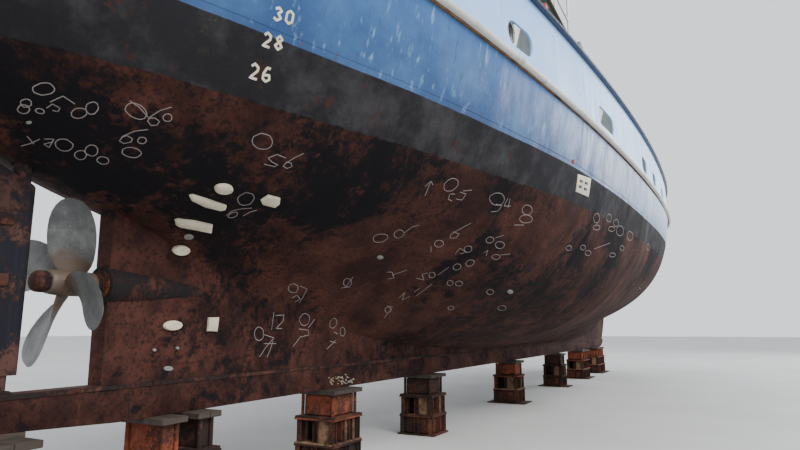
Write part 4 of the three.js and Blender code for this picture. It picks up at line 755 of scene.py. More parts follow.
bulwark = belt("bulwark_plate", [(0, 0, 0), (0, 0, 1), (-0.024, 0, 1), (-0.024, -0.008, 0)])
cutters = []
for place, length in PORTS:
    inside, outside = deck_half(place) - 0.5, deck_half(place) + 0.3
    cutters.append(prism("cutter", slot_outline(place, length), inside, outside))
    cutters.append(prism("cutter", slot_outline(place, length), -outside, -inside))
cut(bulwark, *cutters)
smooth(bulwark, 40)
clothe(bulwark, "pale", replaces="bulwark")

RAIL_IN, RAIL_OUT, RAIL_THICK = -0.095, 0.0565, 0.064
RAIL_LOW = 0.0004
cap = belt("cap_round", [(RAIL_OUT, RAIL_LOW, 1), (-0.024, RAIL_LOW, 1), (RAIL_IN, RAIL_LOW, 1),
                         (RAIL_IN, 0.052, 1), (RAIL_IN + 0.012, RAIL_THICK, 1)]
           + arc((RAIL_OUT - 0.020, RAIL_THICK / 2), RAIL_THICK / 2, 90, -75, 8, 1))
smooth(cap, 40)
clothe(cap, "navy", replaces="cap_rail")


# ---------------------------------------------------------------- placing on the hull through the view
# The photo is 800 by 450 pixels. A pixel's sight line is carried on to the hull's skin.
PHOTO_WIDTH, PHOTO_HEIGHT = 800, 450
bpy.context.view_layer.update()
EYE = camera.matrix_world.translation.copy()
VIEW = camera.matrix_world.to_3x3()
FOCAL_PIXELS = PHOTO_WIDTH * camera.data.lens / camera.data.sensor_width


def skin_tree(*objects):
    build = bmesh.new()
    for obj in objects:
        build.from_mesh(obj.data)
    tree = BVHTree.FromBMesh(build)
    build.free()
    return tree


hull_tree = skin_tree(hull_shell, keel_bar)


def sight(px, py):
    return (VIEW @ Vector((px - PHOTO_WIDTH / 2, PHOTO_HEIGHT / 2 - py, -FOCAL_PIXELS))).normalized()


def on_hull(px, py):
    """Point and outward normal where the sight line of a pixel meets the hull, or None."""
    ray = sight(px, py)
    point, normal, _, _ = hull_tree.ray_cast(EYE, ray)
    if point is None:
        return None
    return point, (normal if normal.dot(ray) < 0 else -normal)


class Solids:
    """Gathers many small closed solids into one mesh."""

    def __init__(self):
        self.points, self.faces = [], []

    def add(self, points, faces):
        base = len(self.points)
        self.points += points
        self.faces += [tuple(base + i for i in face) for face in faces]

    def sweep(self, rings):
        """Closed tube through rings of equal point count."""
        m = len(rings[0])
        faces = [tuple(reversed(range(m))), tuple((len(rings) - 1) * m + i for i in range(m))]
        for k in range(len(rings) - 1):
            faces += between(k * m, (k + 1) * m, m)
        self.add([p for ring in rings for p in ring], faces)

    def hoop(self, rings):
        """Ring of a body whose last section joins its first."""
        m = len(rings[0])
        faces = []
        for k in range(len(rings)):
            faces += between(k * m, (k + 1) % len(rings) * m, m)
        self.add([p for ring in rings for p in ring], faces)

    def tube(self, path, radius, sides=8):
        """Round bar along a path of points."""
        path = [Vector(p) for p in path]
        rings = []
        side = None
        for i, point in enumerate(path):
            along = (path[min(i + 1, len(path) - 1)] - path[max(i - 1, 0)]).normalized()
            if side is None:
                side = along.orthogonal().normalized()
            side = (side - along * side.dot(along)).normalized()
            other = along.cross(side)
            size = radius[i] if isinstance(radius, (list, tuple)) else radius
            rings.append(circle(point, side, other, size, sides))
        self.sweep(rings)

    def plate(self, outline, normal, thick, sunk=0.01):
        """Plate with rounded top edge over an outline of points that lie on a surface."""
        centre = sum(outline, Vector()) / len(outline)
        levels = (1.0, -sunk), (1.0, thick * 0.55), (0.955, thick * 0.88), (0.88, thick)
        self.sweep([[centre + (p - centre) * share + normal * lift for p in outline]
                    for share, lift in levels])

    def block(self, centre, half, axes=(X_AXIS, Y_AXIS, Z_AXIS)):
        """Plain box with a small chamfer on its edges."""
        cut_back = min(half) * 0.16
        rings = []
        for level, inner in ((-1, cut_back), (-1, 0), (1, 0), (1, cut_back)):
            lift = level * (half[2] if inner else half[2] - cut_back)
            a, b, c = half[0] - inner, half[1] - inner, cut_back
            plan = [(a, b - c), (a - c, b), (c - a, b), (-a, b - c),
                    (-a, c - b), (c - a, -b), (a - c, -b), (a, c - b)]
            rings.append([centre + axes[0] * u + axes[1] * v + axes[2] * lift for u, v in plan])
        self.sweep(rings)

    def object(self, name, look, body=HULL_BODY, angle=40, replaces=None):
        obj = mesh_object(name, self.points, self.faces)
        build = bmesh.new()
        build.from_mesh(obj.data)
        bmesh.ops.recalc_face_normals(build, faces=build.faces)
        build.to_mesh(obj.data)
        build.free()
        smooth(obj, angle)
        clothe(obj, look, body, replaces)


def about(axis):
    """The axis and two more across it, all of length 1."""
    axis = Vector(axis).normalized()
    side = axis.orthogonal().normalized()
    return axis, side, axis.cross(side)


def lathe(solids, centre, axis, profile, steps=40):
    """Solid of revolution from (distance along the axis, radius) pairs."""
    axis, side, other = about(axis)
    solids.sweep([circle(centre + axis * along, side, other, radius, steps) for along, radius in profile])


def disc(solids, centre, axis, radius, thick, steps=32):
    """Round plate with eased edges, from its centre out along the axis."""
    lathe(solids, centre, axis, ((0, radius * 0.97), (thick * 0.2, radius), (thick * 0.8, radius),
                                 (thick, radius * 0.97)), steps)


def ring_bar(solids, centre, axis, radius, thick, steps=36, sides=10, flat=1.0):
    """Closed round ring of bar about an axis."""
    axis, side, other = about(axis)
    solids.hoop([circle(place, (place - centre).normalized(), axis * flat, thick, sides)
                 for place in circle(centre, side, other, radius, steps)])


def pipe(solids, places, radius, sides):
    """Round bar through ship coordinates."""
    solids.tube([ship(*place) for place in places], radius, sides)


def span(solids, x0, x1, y0, y1, z0, z1):
    """Chamfered plate or bar between ship coordinates. y0 and y1 may come in either order."""
    centre = ship((x0 + x1) / 2, (y0 + y1) / 2, (z0 + z1) / 2)
    solids.block(centre, ((x1 - x0) / 2, abs(y1 - y0) / 2, (z1 - z0) / 2))


def ellipse(cx, cy, rx, ry, turn=0, steps=20):
    """Outline in pixels, turned by some degrees."""
    c, s = math.cos(math.radians(turn)), math.sin(math.radians(turn))
    out = []
    for i in range(steps):
        a = math.tau * i / steps
        u, v = rx * math.cos(a), ry * math.sin(a)
        out.append((cx + u * c - v * s, cy + u * s + v * c))
    return out


PIXEL_STEP = 1.6        # spacing of the points of a stroke, in pixels


def stroke(solids, pixels, width=None, height=0.0012):
    """Flat line drawn on the hull along photo pixels. Without a width, it is wider where it is far off."""
    fine = []
    for (x0, y0), (x1, y1) in zip(pixels, pixels[1:]):
        count = max(1, int(math.hypot(x1 - x0, y1 - y0) / PIXEL_STEP))
        fine += [(x0 + (x1 - x0) * k / count, y0 + (y1 - y0) * k / count) for k in range(count)]
    fine.append(pixels[-1])
    hits = [hit for hit in (on_hull(x, y) for x, y in fine) if hit]
    far = (hits[0][0] - EYE).length
    half = (width or 0.0045 + 0.00050 * far) / 2
    rings = []
    for i, (point, normal) in enumerate(hits):
        along = hits[min(i + 1, len(hits) - 1)][0] - hits[max(i - 1, 0)][0]
        side = normal.cross(along).normalized() * half
        rings.append([point - side + normal * height, point + side + normal * height,
                      point + side - normal * 0.003, point - side - normal * 0.003])
    solids.sweep(rings)


def pad(solids, pixels, thick):
    """Plate lying on the hull under an outline of photo pixels."""
    hits = [hit for hit in (on_hull(x, y) for x, y in pixels) if hit]
    normal = sum((n for _, n in hits), Vector()).normalized()
    solids.plate([p for p, _ in hits], normal, thick, 0.02)


# Chalk marks of the thickness survey: rings, and plain figures as single strokes
RINGS = [
    (43.6, 89, 11, 6, -4), (26, 103, 5.5, 4, 0), (23.6, 109, 6, 4.5, 0), (40, 111, 4.5, 2.5, 10),
    (92, 108, 6.5, 6, -40), (79, 113, 8, 5, -10), (136, 111, 11.5, 7, 25), (167.6, 117.6, 4.5, 4, 0),
    (142, 140.4, 4.5, 3.2, 0), (131.6, 152.4, 10, 5, 6), (64, 145, 9, 6, 10),
    (91.6, 150.4, 6.5, 5.5, 0), (80.4, 155, 6, 4.5, 0), (103, 160.4, 6, 3.8, 10),
    (262.4, 141.6, 10, 8, 8), (246, 199, 8.5, 6, -20), (233, 215, 5, 2.5, -20),
    (293.3, 288.3, 5, 4.5, 0), (259, 334, 4.5, 7, 0), (304.6, 319.6, 5, 6, 20),
    (333.3, 323.3, 3.5, 5, 20), (342.5, 331.6, 2.5, 4.5, 0), (347.5, 282.5, 4, 4, 0),
    (451, 185, 8, 5.5, -35), (497, 199, 7.5, 6, 0), (527, 210, 5, 5, 0), (526, 219, 6.5, 4, 0),
    (380.4, 238, 7.5, 4, -12), (399, 234, 5, 4, -20), (439, 243.6, 4.5, 3.5, -10), (432, 275, 3, 3, 0),
    (468, 249, 4, 3, -20), (490, 240, 4, 3, -10), (500, 245, 4.5, 3.5, 0), (496, 257, 4, 2.5, 0),
    (457, 267, 4, 3, -20), (470, 263, 4.5, 3, -20), (450, 283, 3, 2.5, 0), (459, 283.6, 3.5, 2.5, 0),
    (388, 310, 3, 3, 0), (451, 308, 3, 2, 0), (502, 308, 4, 2.5, 0), (490, 292, 3.5, 2.5, 0),
    (596.6, 218.3, 3, 5, 0), (596.6, 227.5, 3.5, 2.5, 0), (609, 218, 2.5, 4, 0),
    (616, 223, 2.5, 3.5, 0), (611.6, 229, 3, 2.5, 0), (620, 231, 3.5, 5, 0), (630, 236, 3, 4.5, 0),
    (569, 248, 3, 2.5, 0), (583, 247.5, 2.5, 2.5, 0), (588, 253, 3, 2.5, 0), (612.5, 255, 3, 2, 0),
    (622, 248, 2, 2.5, 0), (648, 247, 1.5, 3, 0),
]
STROKES = [
    [(50, 102), (63, 96), (75, 104)], [(46.4, 108), (52.4, 104), (60, 108), (58, 111.6), (52.4, 110.4)],
    [(130, 101), (139, 107), (148, 117)],
    [(171.6, 107), (160, 110.5), (150, 117), (147.6, 121), (151, 125.4), (157, 125), (159.6, 121.5),
     (155, 118), (148.4, 118)],
    [(148, 129.5), (135, 131), (123, 136), (119.4, 141), (124, 143.5), (131, 142), (132.4, 138.5),
     (127, 135.5), (121, 137.5)],
    [(21, 146), (30, 143.6), (40, 139)], [(27, 136), (34, 144)],
    [(44, 139), (54, 139), (49, 147.6), (44, 144), (52, 142)],
    [(286, 158), (277, 154.4), (268, 158), (272, 162), (278, 165), (274, 166.6), (264, 164)],
    [(303.6, 153.4), (294, 158), (286, 163), (283, 166), (287, 168.4), (292, 166.6), (291, 163),
     (286, 162)],
    [(226, 215.6), (232, 211), (240, 209), (252, 208)], [(243, 216), (250, 212), (257, 210)],
    [(300, 286), (307, 289), (303, 297), (299, 303)], [(292, 298), (297, 295), (300, 299), (295, 302)],
    [(274, 312), (271.5, 330)], [(275.5, 315.5), (284, 315), (283, 321), (276, 328.5), (282, 328.5)],
    [(264, 334.5), (274, 338), (266, 347), (259.5, 357)], [(264, 343.6), (276, 343.6)],
    [(273, 341), (270, 350), (267, 357)], [(315, 319), (308, 328)],
    [(299, 329), (308, 330), (309, 335), (300, 337)], [(301, 336), (293, 346.6)],
    [(334, 332), (338, 334)], [(330, 341), (336, 343)], [(336, 340), (327, 349)],
    [(353, 277), (345, 288)], [(341, 288), (350, 287)], [(425, 195.6), (431, 181)],
    [(425, 186.6), (431, 181), (433, 185)], [(455, 194), (450, 194), (448, 199), (452, 201)],
    [(460, 192), (466, 194), (462, 200), (456, 199)], [(463, 191), (472, 190)],
    [(496, 204), (502, 206), (498, 211), (491, 212)], [(508, 198), (504, 206), (511, 206)],
    [(510, 199), (508, 208)], [(514, 225), (524, 225)], [(404, 233), (412, 227), (419, 225)],
    [(471, 223), (460, 229), (451, 234), (450, 238), (456, 238), (459, 234), (453, 231.6)],
    [(431, 246), (431, 252)], [(387, 272), (392, 272), (394, 278), (388, 279)],
    [(392, 275), (407, 270)], [(416, 278), (424, 280), (422, 274), (428, 273)],
    [(438, 275), (449, 267)], [(455, 254), (460, 248), (466, 252), (460, 254)],
    [(495, 238), (504, 235)], [(484, 253), (488, 250), (486, 256)], [(500, 255), (510, 254)],
    [(399, 298), (405, 292), (402, 300), (410, 296)], [(414, 292), (420, 288)],
    [(416, 296), (432, 284)], [(384, 318), (392, 308)], [(387, 306), (393, 307)],
    [(594, 249), (610, 243)],
]
chalk = Solids()
wander = random.Random(5)
for cx, cy, rx, ry, turn in RINGS:
    loop = [(x + wander.uniform(-0.05, 0.05) * rx, y + wander.uniform(-0.07, 0.07) * ry)
            for x, y in ellipse(cx, cy, rx, ry, turn, 14)]
    stroke(chalk, loop + loop[:2])
for line in STROKES:
    stroke(chalk, line)
chalk.object("chalk_marks", "chalk")

# Draft figures, set upright on the side above one another
FIGURES = {
    "0": [[(0.1, 0.2), (0.5, 0), (0.9, 0.2), (0.9, 0.8), (0.5, 1), (0.1, 0.8), (0.1, 0.2)]],
    "2": [[(0.1, 0.22), (0.45, 0), (0.9, 0.2), (0.85, 0.45), (0.1, 1), (0.95, 1)]],
    "3": [[(0.1, 0.15), (0.5, 0), (0.9, 0.2), (0.5, 0.47), (0.95, 0.75), (0.5, 1), (0.05, 0.85)]],
    "6": [[(0.85, 0.08), (0.45, 0.05), (0.12, 0.5), (0.12, 0.85), (0.5, 1), (0.9, 0.8), (0.8, 0.52),
           (0.15, 0.6)]],
    "8": [[(0.5, 0.46), (0.15, 0.25), (0.5, 0), (0.85, 0.22), (0.5, 0.46), (0.08, 0.75), (0.5, 1),
           (0.92, 0.75), (0.5, 0.46)]],
}
# Figures, left and top pixel of the first, width and height of each
DRAFT_MARKS = [("30", 275.5, 6.5, 9.0, 12.5), ("28", 264.5, 31.5, 9.2, 13.5),
               ("26", 251.5, 62.5, 9.6, 14.5)]
LEAN = 2.6              # pixels that a figure's foot stands to the left, and its right side lower
figures = Solids()
for text, left, top, wide, tall in DRAFT_MARKS:
    for place, sign in enumerate(text):
        for line in FIGURES[sign]:
            stroke(figures, [(left + place * wide * 1.28 + u * wide * 0.86 - v * LEAN,
                              top + place * 3.3 + u * LEAN + v * tall) for u, v in line], 0.020, 0.0016)
figures.object("draft_figures", "cream")

# Anodes, blanking plates, plugs and the sea grid on the shell plating, as places in the photo
ANODES = [(223.5, 188, 9.5, 4.8, 3), (180.5, 250, 9, 4.8, 0), (172, 325.5, 9, 5, -3)]
BLANKS = [
    [(189, 194.6), (192, 193.6), (208, 198.5), (226.5, 205.0), (225.5, 208.6), (221, 209.6), (205, 205.6),
     (191, 199)],
    [(174.6, 219), (178, 218.2), (195, 220.2), (212.6, 224.2), (211.6, 231.8), (196, 228.6), (180, 225.8),
     (175.4, 223.4)],
    [(260.5, 199.5), (268, 194.4), (280, 197.6), (279.4, 202.8), (274.6, 206.4), (262, 203.2)],
    [(207.8, 317.4), (217.8, 317.2), (216, 331.6), (206.6, 331.2)],
]
PLUGS = [(188.5, 236.5, 5, 2.6), (168, 368.5, 4.6, 2.6), (154, 350, 1.7, 1.6), (177, 348, 1.7, 1.6),
         (380, 257, 3.4, 1.8), (510, 291.5, 3.0, 1.9), (29, 122, 3, 1.2)]
GRID_PLATE = [(577.5, 174), (590.5, 178.5), (588, 197), (575.5, 191.5)]
GRID_SLOTS = [[(x - 1.5, y - 1.6), (x + 1.5, y - 1.0), (x + 1.4, y + 1.8), (x - 1.6, y + 1.1)]
              for x, y in ((580.5, 181), (585.5, 183), (579.5, 186.5), (584.5, 189))]


def pads(name, look, *groups):
    """One mesh of pads from groups of (outlines, thickness)."""
    solids = Solids()
    for outlines, thick in groups:
        for outline in outlines:
            pad(solids, outline, thick)
    solids.object(name, look)


pads("anodes", "anode", ([ellipse(*place, 18) for place in ANODES], 0.030), (BLANKS, 0.026))
pads("shell_plugs", "zinc", ([ellipse(*place, 0, 14) for place in PLUGS], 0.012))
pads("sea_grid_plate", "cream", ([GRID_PLATE], 0.016))
pads("sea_grid_slots", "dark", (GRID_SLOTS, 0.020))


# ---------------------------------------------------------------- propeller, boss and rudder
PROP_X, PROP_RADIUS, PITCH, RAKE = 0.45, 0.66, 1.0, 0.15
# Share of the radius, chord and thickness of a blade's sections
BLADE_ROWS = [(0.11, 0.170, 0.064), (0.18, 0.215, 0.056), (0.25, 0.275, 0.046), (0.35, 0.345, 0.038),
              (0.45, 0.400, 0.031), (0.56, 0.435, 0.026), (0.66, 0.452, 0.021), (0.75, 0.450, 0.017),
              (0.83, 0.425, 0.014), (0.90, 0.370, 0.011), (0.95, 0.300, 0.009), (0.98, 0.220, 0.008),
              (1.0, 0.110, 0.006)]
BLADE_TURNS = (20, 110, 200, 290)
BLADE_SIDES = 32


def shaft_point(x, radius, turn):
    """Point about the shaft line, turn in degrees clockwise from the top, seen from aft."""
    angle = math.radians(turn)
    return ship(x, -radius * math.sin(angle), SHAFT_Z + radius * math.cos(angle))


def turned(solids, profile, sides=48):
    """Round body about the shaft line from (x, radius) pairs."""
    solids.sweep([[shaft_point(x, radius, 360 * k / sides) for k in range(sides)] for x, radius in profile])


def blade_rings(turn):
    """Sections of one blade from the hub to the tip."""
    rings = []
    for at, chord, thick in BLADE_ROWS:
        radius = at * PROP_RADIUS
        pitch = math.atan(PITCH / (math.tau * radius))
        ring = []
        for k in range(BLADE_SIDES):
            angle = math.tau * k / BLADE_SIDES
            u = math.cos(angle) * chord / 2
            swell = math.sin(angle) * (0.62 + 0.38 * math.sin(angle) ** 2)
            v = swell * thick / 2 + 0.05 * chord * (1 - (2 * u / chord) ** 2) - 0.025 * chord
            around = math.degrees((u * math.cos(pitch) - v * math.sin(pitch)) / radius)
            along = u * math.sin(pitch) + v * math.cos(pitch)
            ring.append(shaft_point(PROP_X - RAKE * at + along, radius, turn + around))
        rings.append(ring)
    return rings


wheel = Solids()
for turn in BLADE_TURNS:
    wheel.sweep(blade_rings(turn))
turned(wheel, [(0.262, 0.078), (0.268, 0.088), (0.300, 0.094), (0.345, 0.0985), (0.430, 0.101),
               (0.560, 0.100), (0.600, 0.097), (0.632, 0.094), (0.640, 0.088)])
wheel.object("propeller_fine", "casting", "propeller", angle=50, replaces="propeller")
nut = Solids()
turned(nut, [(0.150, 0.020), (0.153, 0.050), (0.162, 0.068), (0.176, 0.078), (0.196, 0.082),
             (0.214, 0.083)], 32)
nut.sweep([[shaft_point(x, radius, 60 * k + 8) for k in range(6)]
           for x, radius in ((0.205, 0.076), (0.210, 0.083), (0.256, 0.083), (0.262, 0.076))])
turned(nut, [(0.641, 0.060), (0.7065, 0.060)], 32)
nut.sweep([[shaft_point(x, radius, turn) for radius, turn in ((top, 80), (top, 100), (low, 100), (low, 80))]
           for x, top, low in ((0.160, 0.05, 0.03), (0.200, 0.078, 0.05))])
nut.object("propeller_nut", "rust", "propeller")

boss = Solids()
turned(boss, [(0.7125, 0.100), (0.7125, 0.152), (0.716, 0.157), (0.732, 0.159), (0.735, 0.156),
              (0.741, 0.156), (0.744, 0.160), (0.800, 0.160), (0.812, 0.156), (0.95, 0.150),
              (1.20, 0.137), (1.45, 0.120), (1.70, 0.103), (1.95, 0.084), (2.13, 0.062)])
boss.object("stern_tube_fine", "boss", replaces="stern_tube_boss")
gland = Solids()
turned(gland, [(0.7085, 0.072), (0.7085, 0.118), (0.7125, 0.122), (0.7150, 0.122)])
gland.object("gland_ring", "oxide")
studs = Solids()
for k in range(10):
    place = shaft_point(0.7105, 0.139, 36 * k + 10)
    studs.tube([place, place + X_AXIS * 0.004], 0.0105, 6)
    studs.tube([place - X_AXIS * 0.001, place + X_AXIS * 0.004], 0.006, 8)
studs.object("gland_studs", "rust")

# Rudder: a round nose bar with the blade plating behind it and a strap at each arm.
# RUDDER_TOP_Z has the heights of the top edge at the front and at the back.
RUDDER_FRONT_X, RUDDER_BACK_X, RUDDER_LOW_Z = 0.100, -1.180, 0.430
RUDDER_TOP_Z = (1.790, 2.330)
STOCK_RADIUS, STOCK_TOP_Z = 0.062, 2.500


def rudder_top(x):
    share = (RUDDER_FRONT_X - x) / (RUDDER_FRONT_X - RUDDER_BACK_X)
    return RUDDER_TOP_Z[0] + (RUDDER_TOP_Z[1] - RUDDER_TOP_Z[0]) * share


def rudder_outline():
    """Plan outline of the rudder: round nose, a step to the plating, and a thin after edge."""
    nose = 0.064
    half = [(RUDDER_FRONT_X - nose + nose * math.cos(math.radians(a)), nose * math.sin(math.radians(a)))
            for a in range(0, 121, 12)]
    half += [(0.000, 0.0555), (-0.010, 0.0530), (-0.020, 0.0560), (-0.30, 0.0600), (-0.62, 0.0500),
             (-0.90, 0.034), (-1.10, 0.015), (-1.172, 0.0085), (RUDDER_BACK_X, 0.004)]
    return half + [(x, -y) for x, y in reversed(half[1:])]


# Each level is the share of the height, a lift above it, and the share of the thickness
RUDDER_LEVELS = [(0, 0, 0.9), (0, 0.012, 1), (0.25, 0, 1), (0.5, 0, 1), (0.75, 0, 1), (1, -0.012, 1),
                 (1, 0, 0.9)]
blade = Solids()
blade.sweep([[ship(x, y * thin, RUDDER_LOW_Z + (rudder_top(x) - RUDDER_LOW_Z) * share + lift)
              for x, y in rudder_outline()] for share, lift, thin in RUDDER_LEVELS])
pipe(blade, [(0, 0, RUDDER_LOW_Z + 0.2), (0, 0, STOCK_TOP_Z)], STOCK_RADIUS, 32)
pipe(blade, [(0, 0, 0.170), (0, 0, 0.176), (0, 0, RUDDER_LOW_Z + 0.1)], [0.033, 0.0358, 0.0358], 32)
blade.object("rudder_fine", "rudder", "rudder", replaces="rudder")
straps = Solids()
STRAP_ENDS = (-0.900, -0.060)
STRAP_HEIGHT = 0.090


def strap_inside(x):
    return 0.0600 if x > -0.62 else 0.0505 if x > -0.85 else 0.040


def strap_outside(x):
    return 0.0745 if x > -0.62 else 0.064


for strap_z in (0.62, 1.05, 1.48):
    for side in (-1, 1):
        ring_set = []
        for x in (-0.900, -0.885, -0.60, -0.30, -0.075, -0.060):
            drawn_in = 0.014 if x in STRAP_ENDS else 0.0
            y0, y1 = side * strap_inside(x) * 0.8, side * strap_outside(x)
            low, high = strap_z + drawn_in, strap_z + STRAP_HEIGHT - drawn_in
            ring_set.append([ship(x, y, z) for y, z in
                             ((y0, low), (y1, low + 0.004), (y1, high - 0.004), (y0, high))])
        straps.sweep(ring_set)
        for x in (-0.14, -0.36, -0.58, -0.80):
            y, middle = side * strap_outside(x), strap_z + STRAP_HEIGHT / 2
            pipe(straps, [(x, y * 0.9, middle), (x, y + side * 0.0010, middle)], 0.016, 10)
straps.object("rudder_straps", "rust", "rudder")
collar = Solids()
pipe(collar, [(0, 0, 0.3005), (0, 0, 0.312), (0, 0, 0.322)], [0.075, 0.075, 0.062], 32)
collar.object("heel_collar", "rust")


# ---------------------------------------------------------------- keel bar details
# Butts of the keel bar, drawn between its upper and lower edge as they run in the photo
seams = Solids()
for px in (128, 247, 420, 545):
    along = px - 128.7
    stroke(seams, [(px, 390 - along * 0.092), (px + 1, 419 - along * 0.155)], 0.006, 0.0006)
seams.object("keel_seams", "dark_seam_and_shade")

# Overlapping edge of the hull plating on the keel bar, in plates of one length
LEDGE_START_X, LEDGE_END_X, LEDGE_PLATE, LEDGE_PROUD = -0.66, 22.8, 1.9, 0.009
ledge = Solids()
x = LEDGE_START_X
while x < LEDGE_END_X:
    reach = min(x + LEDGE_PLATE, LEDGE_END_X)
    for side in (-1, 1):
        rings = []
        for place, share in ((x + 0.004, 0.4), (x + 0.010, 1), (reach - 0.010, 1), (reach - 0.004, 0.4)):
            inner, outer = side * (KEEL_HALF - 0.004), side * (KEEL_HALF + LEDGE_PROUD * share)
            rings.append([ship(place, y, z) for y, z in
                          ((inner, 0.262), (outer, 0.266), (outer, 0.297), (inner, 0.3015))])
        ledge.sweep(rings)
    x = reach
ledge.object("keel_ledge", "rust")
RIVET_COUNT, RIVET_PITCH = 86, 0.27
rivets = Solids()
for side in (-1, 1):
    for k in range(RIVET_COUNT):
        x = -0.55 + k * RIVET_PITCH
        y = side * (KEEL_HALF + LEDGE_PROUD - 0.001)
        pipe(rivets, [(x, y + side * proud, 0.281) for proud in (0, 0.004, 0.006)],
             [0.0095, 0.0085, 0.004], 8)
rivets.object("keel_rivets", "rust")
# Holes in the sole piece and the keel bar: a ring round a dark disc, painted shade of the hole
eyes = Solids()
for px, py in ((134.7, 409), (193, 401), (318, 381)):
    centre, normal = on_hull(px, py)
    normal, side, other = about(normal)
    ring_bar(eyes, centre + normal * 0.002, normal, 0.026, 0.008, 20, 6, 0.75)
    eyes.plate(circle(centre, side, other, 0.021, 16), normal, 0.0012, 0.004)
eyes.object("keel_eyes", "dark_seam_and_shade")
# Sea growth scattered about one place on the keel bar
growth = Solids()
spread = random.Random(11)
for _ in range(36):
    px, py = spread.gauss(341, 7), spread.gauss(380, 2.5)
    if 322 < px < 362 and 370 < py < 388:
        rx, ry, turn = spread.uniform(0.5, 1.5), spread.uniform(0.4, 1.0), spread.uniform(0, 90)
        outline = ellipse(px, py, rx, ry, turn, 7)
        pad(growth, outline, spread.uniform(0.004, 0.012))
growth.object("keel_growth", "crust")


# ---------------------------------------------------------------- keel blocks
# Ship x of the middle, length along the ship, and half width of the foot plate
FOOT_NARROW, FOOT_WIDE = 0.33, 0.45
BLOCKS = [(-0.13, 0.60, FOOT_WIDE), (1.34, 0.29, FOOT_NARROW), (1.75, 0.29, FOOT_NARROW),
          (4.11, 0.66, FOOT_NARROW), (6.91, 0.60, FOOT_NARROW), (11.65, 0.62, FOOT_WIDE),
          (16.20, 0.62, FOOT_WIDE), (19.68, 1.20, FOOT_WIDE), (22.80, 1.50, FOOT_WIDE)]
PRIMED_BLOCKS = (2, 4, 6, 8, 9)
BLOCK_HALF = 0.30       # half width of the blocks
FLOOR_Z = -KEEL_Z
FLANGE = 0.024          # thickness of the plates above and below each tier
SPRUNG = 0.006          # most that a plate's edge is out of true
TIER = 0.31
MIDDLE_Z, UPPER_Z = FLOOR_Z + TIER, FLOOR_Z + 2 * TIER      # feet of the middle and the upper tier
TIER_TOP_Z, TIMBER_LOW_Z, TIMBER_HIGH_Z = -0.0544, -0.0540, -0.0008


def beam(solids, x, y, z0, z1, across):
    """Upright rolled beam: two flanges and a web. across is the axis that the web runs along."""
    wide, deep, thin = 0.036, 0.034, 0.0045
    for offset, along, aside in ((-deep, thin, wide), (deep, thin, wide), (0, deep, thin)):
        if across == "x":
            span(solids, x + offset - along, x + offset + along, y - aside, y + aside, z0, z1)
        else:
            span(solids, x - aside, x + aside, y + offset - along, y + offset + along, z0, z1)


def ring_of_places(long, wide, inset, pitch):
    """Places of uprights round a rectangle, with the axis their webs run along."""
    u, v = long - inset, wide - inset
    places = [(a * u, b * v, "x") for a in (-1, 1) for b in (-1, 1)]
    count = max(0, int(round(2 * u / pitch)) - 1)
    places += [((k + 1) / (count + 1) * 2 * u - u, b * v, "x") for k in range(count) for b in (-1, 1)]
    count = max(0, int(round(2 * v / pitch)) - 1)
    places += [(a * u, (k + 1) / (count + 1) * 2 * v - v, "y") for k in range(count) for a in (-1, 1)]
    return places


def tray(solids, x, long, wide, z0, z1, jitter):
    """Flange plate with slightly sprung edges."""
    steps = 10
    corners = [(-long, -wide), (long, -wide), (long, wide), (-long, wide)]
    outline = []
    for (u0, v0), (u1, v1) in zip(corners, corners[1:] + corners[:1]):
        outline += [(u0 + (u1 - u0) * k / steps, v0 + (v1 - v0) * k / steps) for k in range(steps)]
    rings = []
    for inner, z in ((0.004, z0), (0, z0 + 0.003), (0, z1 - 0.003), (0.004, z1)):
        rings.append([ship(x + u * (1 - inner / long), v * (1 - inner / wide), z) for u, v in outline])
    for i, (u, v) in enumerate(outline):
        pull = jitter.uniform(0.0, SPRUNG)
        for ring in rings:
            if abs(u) > long * 0.98:
                ring[i].x -= math.copysign(pull, u)
            if abs(v) > wide * 0.98:
                ring[i].y -= math.copysign(pull, v)
    solids.sweep(rings)


